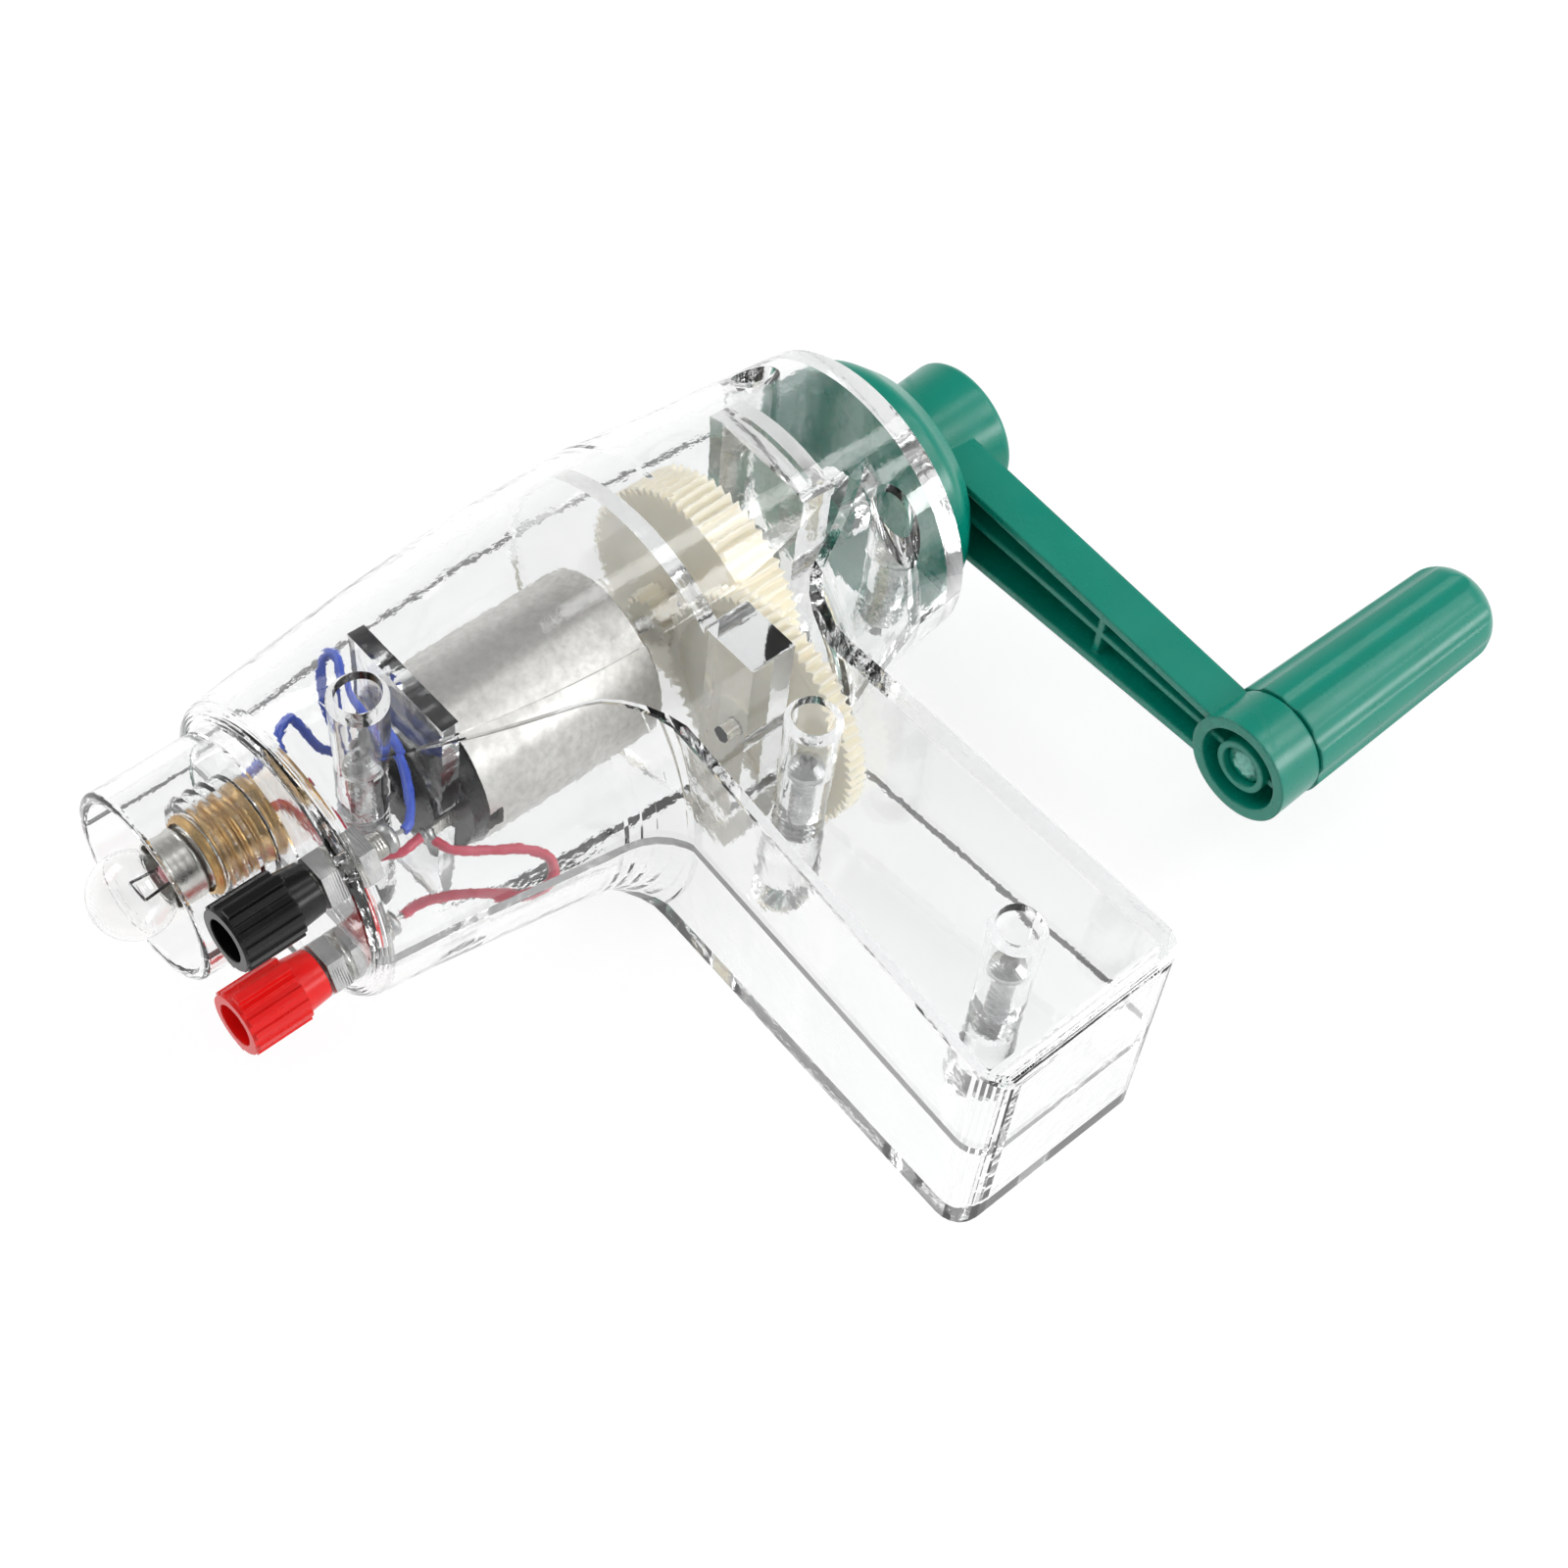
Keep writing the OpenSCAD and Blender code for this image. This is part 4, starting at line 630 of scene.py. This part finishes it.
# %% [markdown]
# The magnets are pressed ferrite: dark, dull and grainy, not metal. The foot of the lamp is
# black glass, and the bead that holds its wires is pink glass. The recipe of the moulded
# plastics fits all three.

# %% Magnets, lamp foot and bead
baked = {
    "magnet_grey": ("4A4B4E", "3B3C3F", "77787B", 0.6, 0.8, 0.8),
    "lamp_black": ("181719", "0D0D0E", "4A4A4C", 0.16, 0.3),
    "lamp_red": ("E7A3AC", "CB7F8A", "F6D3D7", 0.12, 0.2, 0.3, 0.4),
}
for title, recipe in baked.items():
    finishes[title] = moulded_finish(title, *recipe)
print("finishes so far:", len(finishes))

# %% [markdown]
# ## Leads
# Soft insulation is smooth and a little waxy. It creases slightly where it bends and picks
# up dust, so its colour is paler in patches and its gloss is uneven.

# %% Lead finish
lead_relief = 0.0001
lead_bump = 0.3


def insulation_finish(title, colour, faded):
    material, tree, skin = new_finish(title, 0.34)
    marks = put(tree, patches, Scale=420.0, Detail=4.0)
    creases = put(tree, scratches, Scale=900.0, Squeeze=(1.0, 0.4, 0.4), Share=0.62)
    body = put(tree, mould_skin, Scale=2200.0, Wave_scale=400.0)
    dusty = tint(tree, marks.outputs[0], linear(colour), linear(faded))
    tree.links.new(dusty, skin.inputs["Base Color"])
    smudge = map_range(tree, marks.outputs[0], 0.0, 1.0, 0.26, 0.42)
    tree.links.new(smudge, skin.inputs["Roughness"])
    height = combine(tree, "ADD", body.outputs["Height"], creases.outputs["Mask"])
    raise_skin(tree, skin, height, lead_bump, lead_relief)
    let_light_in(skin, 0.1, (0.0006, 0.0006, 0.0006))
    return material


finishes["red_lead"] = insulation_finish("red_lead", "C01438", "D2506A")
finishes["blue_lead"] = insulation_finish("blue_lead", "2444B4", "4C68CC")
print("finishes:", len(finishes))

# %% [markdown]
# ## Finishes on the CAD nodes
# Every CAD object keeps its mesh. Its material slots get the finish of the same name as the
# slot in the record, so another scene can still repaint it. Four nodes look different from
# the rest of their slot: the studs, lugs and tags are brass under a grey nickel plate, and
# the wires in the lamp have darkened from its heat.

# %% Give every node its finish
slot_of = {entry["node"]: entry["material_slot"] for entry in frame["record"]["subparts"]}
own_finish = {
    "post_studs": "plated_brass",
    "solder_lugs": "plated_brass",
    "motor_tags": "plated_brass",
    "lamp_wires": "dark_wire",
}
finish_of = {name: own_finish.get(name, slot_of[name]) for name in nodes_of_part}
for name, piece in nodes_of_part.items():
    finish = finishes[finish_of[name]]
    if not piece.material_slots:
        piece.data.materials.append(finish)
    for place in piece.material_slots:
        place.material = finish
print("dressed", len(nodes_of_part), "nodes in", len(set(finish_of.values())), "finishes")

# %% [markdown]
# ## Leads as smooth round tubes
# Four short leads run from the motor's tags to the posts and to the lamp socket. A lead is a
# Bezier curve with a round section. The handles follow the same rule as the route in the
# CAD model, so the curve passes through the same points. Each has a thin bare core for its
# full length, and insulation that stops short of both ends.

# %% Routes in the frame of the part
roll_cos, roll_sin = 0.99547201, 0.09505517
shift_x, shift_y, shift_z = -0.064765, 0.0312445, 0.025


def on_table(point):
    """A point in mm in the barrel's own frame, in metres as the part lies."""
    x, y, z = (value / 1000 for value in point)
    across = y * roll_cos - z * roll_sin
    up = y * roll_sin + z * roll_cos
    return Vector((x + shift_x, across + shift_y, up + shift_z))


routes = {
    "red_lead": [
        (17.2, -8.93, 0), (17.2, -10.3, 0), (18.2, -12.2, -0.5), (21.4, -14.2, -1.5),
        (25.5, -16.2, -2.5), (27.8, -18.4, -3.5), (27.4, -20, -4.5), (25, -20.2, -5.5),
        (21.6, -18.3, -6.5), (18, -15, -7.2), (14, -12.2, -8.6), (11.6, -11.5, -9.5),
        (9.4, -11.5, -9.5),
    ],
    "blue_lead": [
        (17.2, 8.93, 0), (17.2, 10.3, 0), (17.4, 13.2, 3.4), (18.8, 15.6, 6.8),
        (20.4, 16.2, 8.2), (20.6, 14.4, 8.8), (19.2, 11.6, 9), (18.2, 8.6, 9.6),
        (18.1, 4, 10), (18, 0, 9.8), (17, -4, 9.2), (14.4, -8.6, 9.2), (11.6, -11.5, 9.5),
        (9.4, -11.5, 9.5),
    ],
    "blue_lamp_lead": [
        (16.4, 8.7, 0), (15, 8.7, 0), (13.8, 10, 1), (13.2, 12.6, 2.8), (12.4, 13.6, 4),
        (10.4, 12.8, 4.2), (7.6, 11, 3), (5.8, 10.6, 2.4), (3.9, 10.6, 2.4),
    ],
    "red_lamp_lead": [
        (16.4, -8.7, 0), (15, -8.7, 0), (12.4, -8.9, 0), (9.6, -6.6, -0.6), (8.4, -2, -0.8),
        (8, 3, -0.6), (7.2, 5.6, 0), (6.2, 6.1, 0), (5, 6.1, 0),
    ],
}
print({name: len(points) for name, points in routes.items()})

# %% Curves for the leads
cover_radius = 0.00065
core_radius = 0.00032
bare_share = 0.03


def wire(name, points, radius, start, end, finish):
    """A tube along the points. start and end are shares of its length."""
    data = bpy.data.curves.new(name, "CURVE")
    data.dimensions = "3D"
    data.bevel_depth = radius
    data.bevel_resolution = 5
    data.resolution_u = 8
    data.bevel_factor_mapping_start = "SPLINE"
    data.bevel_factor_mapping_end = "SPLINE"
    data.bevel_factor_start, data.bevel_factor_end = start, end
    data.use_fill_caps = True
    spline = data.splines.new("BEZIER")
    spline.bezier_points.add(len(points) - 1)
    places = [on_table(point) for point in points]
    for i, knot in enumerate(spline.bezier_points):
        step = (places[min(i + 1, len(places) - 1)] - places[max(i - 1, 0)]) / 6
        knot.handle_left_type = knot.handle_right_type = "FREE"
        knot.co = places[i]
        knot.handle_left, knot.handle_right = places[i] - step, places[i] + step
    data.materials.append(finish)
    piece = bpy.data.objects.new(name, data)
    scene.collection.objects.link(piece)
    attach(piece, "case")
    return piece


for name, points in routes.items():
    colour = "red_lead" if name.startswith("red") else "blue_lead"
    cover_finish = finishes[colour]
    cover = wire(name + "_cover", points, cover_radius, bare_share, 1 - bare_share, cover_finish)
    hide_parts(name)
    core = wire(name + "_core", points, core_radius, 0.0, 1.0, finishes["solder"])
print(len(routes), "leads")

# %% [markdown]
# ## Solder joints
# Where a lead meets a tag, a small cone of solder climbs the wire. It is a turned shape, so
# half of its outline is drawn and spun round the wire. A little noise makes each one uneven,
# as solder that froze by itself is.

# %% A turned piece at a place on the part
same_place = 0.000005
lump_scale = 1700


def spin_outline(name, outline, point, towards, body, finish, rough=0.0, steps=24):
    """A solid spun from pairs of distance and radius, in mm.

    The distances run from the point in the direction towards, and both ends of the outline
    lie on that line. rough is how far the noise moves the skin, in mm.
    """
    bm = bmesh.new()
    knots = [bm.verts.new((radius / 1000, 0, distance / 1000)) for distance, radius in outline]
    edges = [bm.edges.new(pair) for pair in zip(knots, knots[1:])]
    bmesh.ops.spin(
        bm, geom=knots + edges, cent=(0, 0, 0), axis=(0, 0, 1), angle=2 * pi, steps=steps,
        use_merge=True,
    )
    bmesh.ops.remove_doubles(bm, verts=bm.verts, dist=same_place)
    bmesh.ops.recalc_face_normals(bm, faces=bm.faces)
    bm.normal_update()
    for knot in bm.verts:
        knot.co += knot.normal * rough / 1000 * noise.noise(knot.co * lump_scale + Vector(point))
    where = on_table(point)
    line = on_table([a + b for a, b in zip(point, towards)]) - where
    turn = line.to_track_quat("Z", "Y").to_matrix().to_4x4()
    bmesh.ops.transform(bm, matrix=Matrix.Translation(where) @ turn, verts=bm.verts)
    mesh = bpy.data.meshes.new(name)
    bm.to_mesh(mesh)
    bm.free()
    mesh.materials.append(finish)
    mesh.shade_smooth()
    piece = bpy.data.objects.new(name, mesh)
    scene.collection.objects.link(piece)
    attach(piece, body)
    return piece


cone_outline = [
    (-0.3, 0), (-0.3, 0.95), (0, 1.0), (0.25, 0.85), (0.55, 0.6), (0.95, 0.45), (1.3, 0.38),
    (1.4, 0),
]
cone_rough = 0.12
joints = {
    "red_tag_joint": ((17.2, -8.93, 0), (0, -1, 0)),
    "blue_tag_joint": ((17.2, 8.93, 0), (0, 1, 0)),
    "red_lamp_joint": ((16.4, -8.7, 0), (-1, 0, 0)),
    "blue_lamp_joint": ((16.4, 8.7, 0), (-1, 0, 0)),
    "shell_joint": ((3.9, 10.6, 2.4), (1, 0, 0)),
}
solder = finishes["solder"]
for name, (point, towards) in joints.items():
    spin_outline(name, cone_outline, point, towards, "case", solder, cone_rough)
print(len(joints), "solder joints")

# %% [markdown]
# ## The pressed end of the knob pin
# The pin was melted over with a hot tool, which leaves a ragged star that has gone pale. The
# CAD model has the plain head, and this lump of melted plastic sits on it.

# %% Melted end
eye_point = (106.55, -65.5, 0)
melted_outline = [
    (0.1, 0), (0.1, 1.9), (-0.15, 1.95), (-0.4, 1.5), (-0.3, 1.1), (-0.6, 0.7), (-0.55, 0.3),
    (-0.4, 0),
]
melt = spin_outline(
    "pin_melt", melted_outline, eye_point, (1, 0, 0), "knob_set", finishes["melted_green"],
    rough=0.5, steps=40,
)
print("melted end", round(melt.dimensions.y * 1000, 1), "mm across")
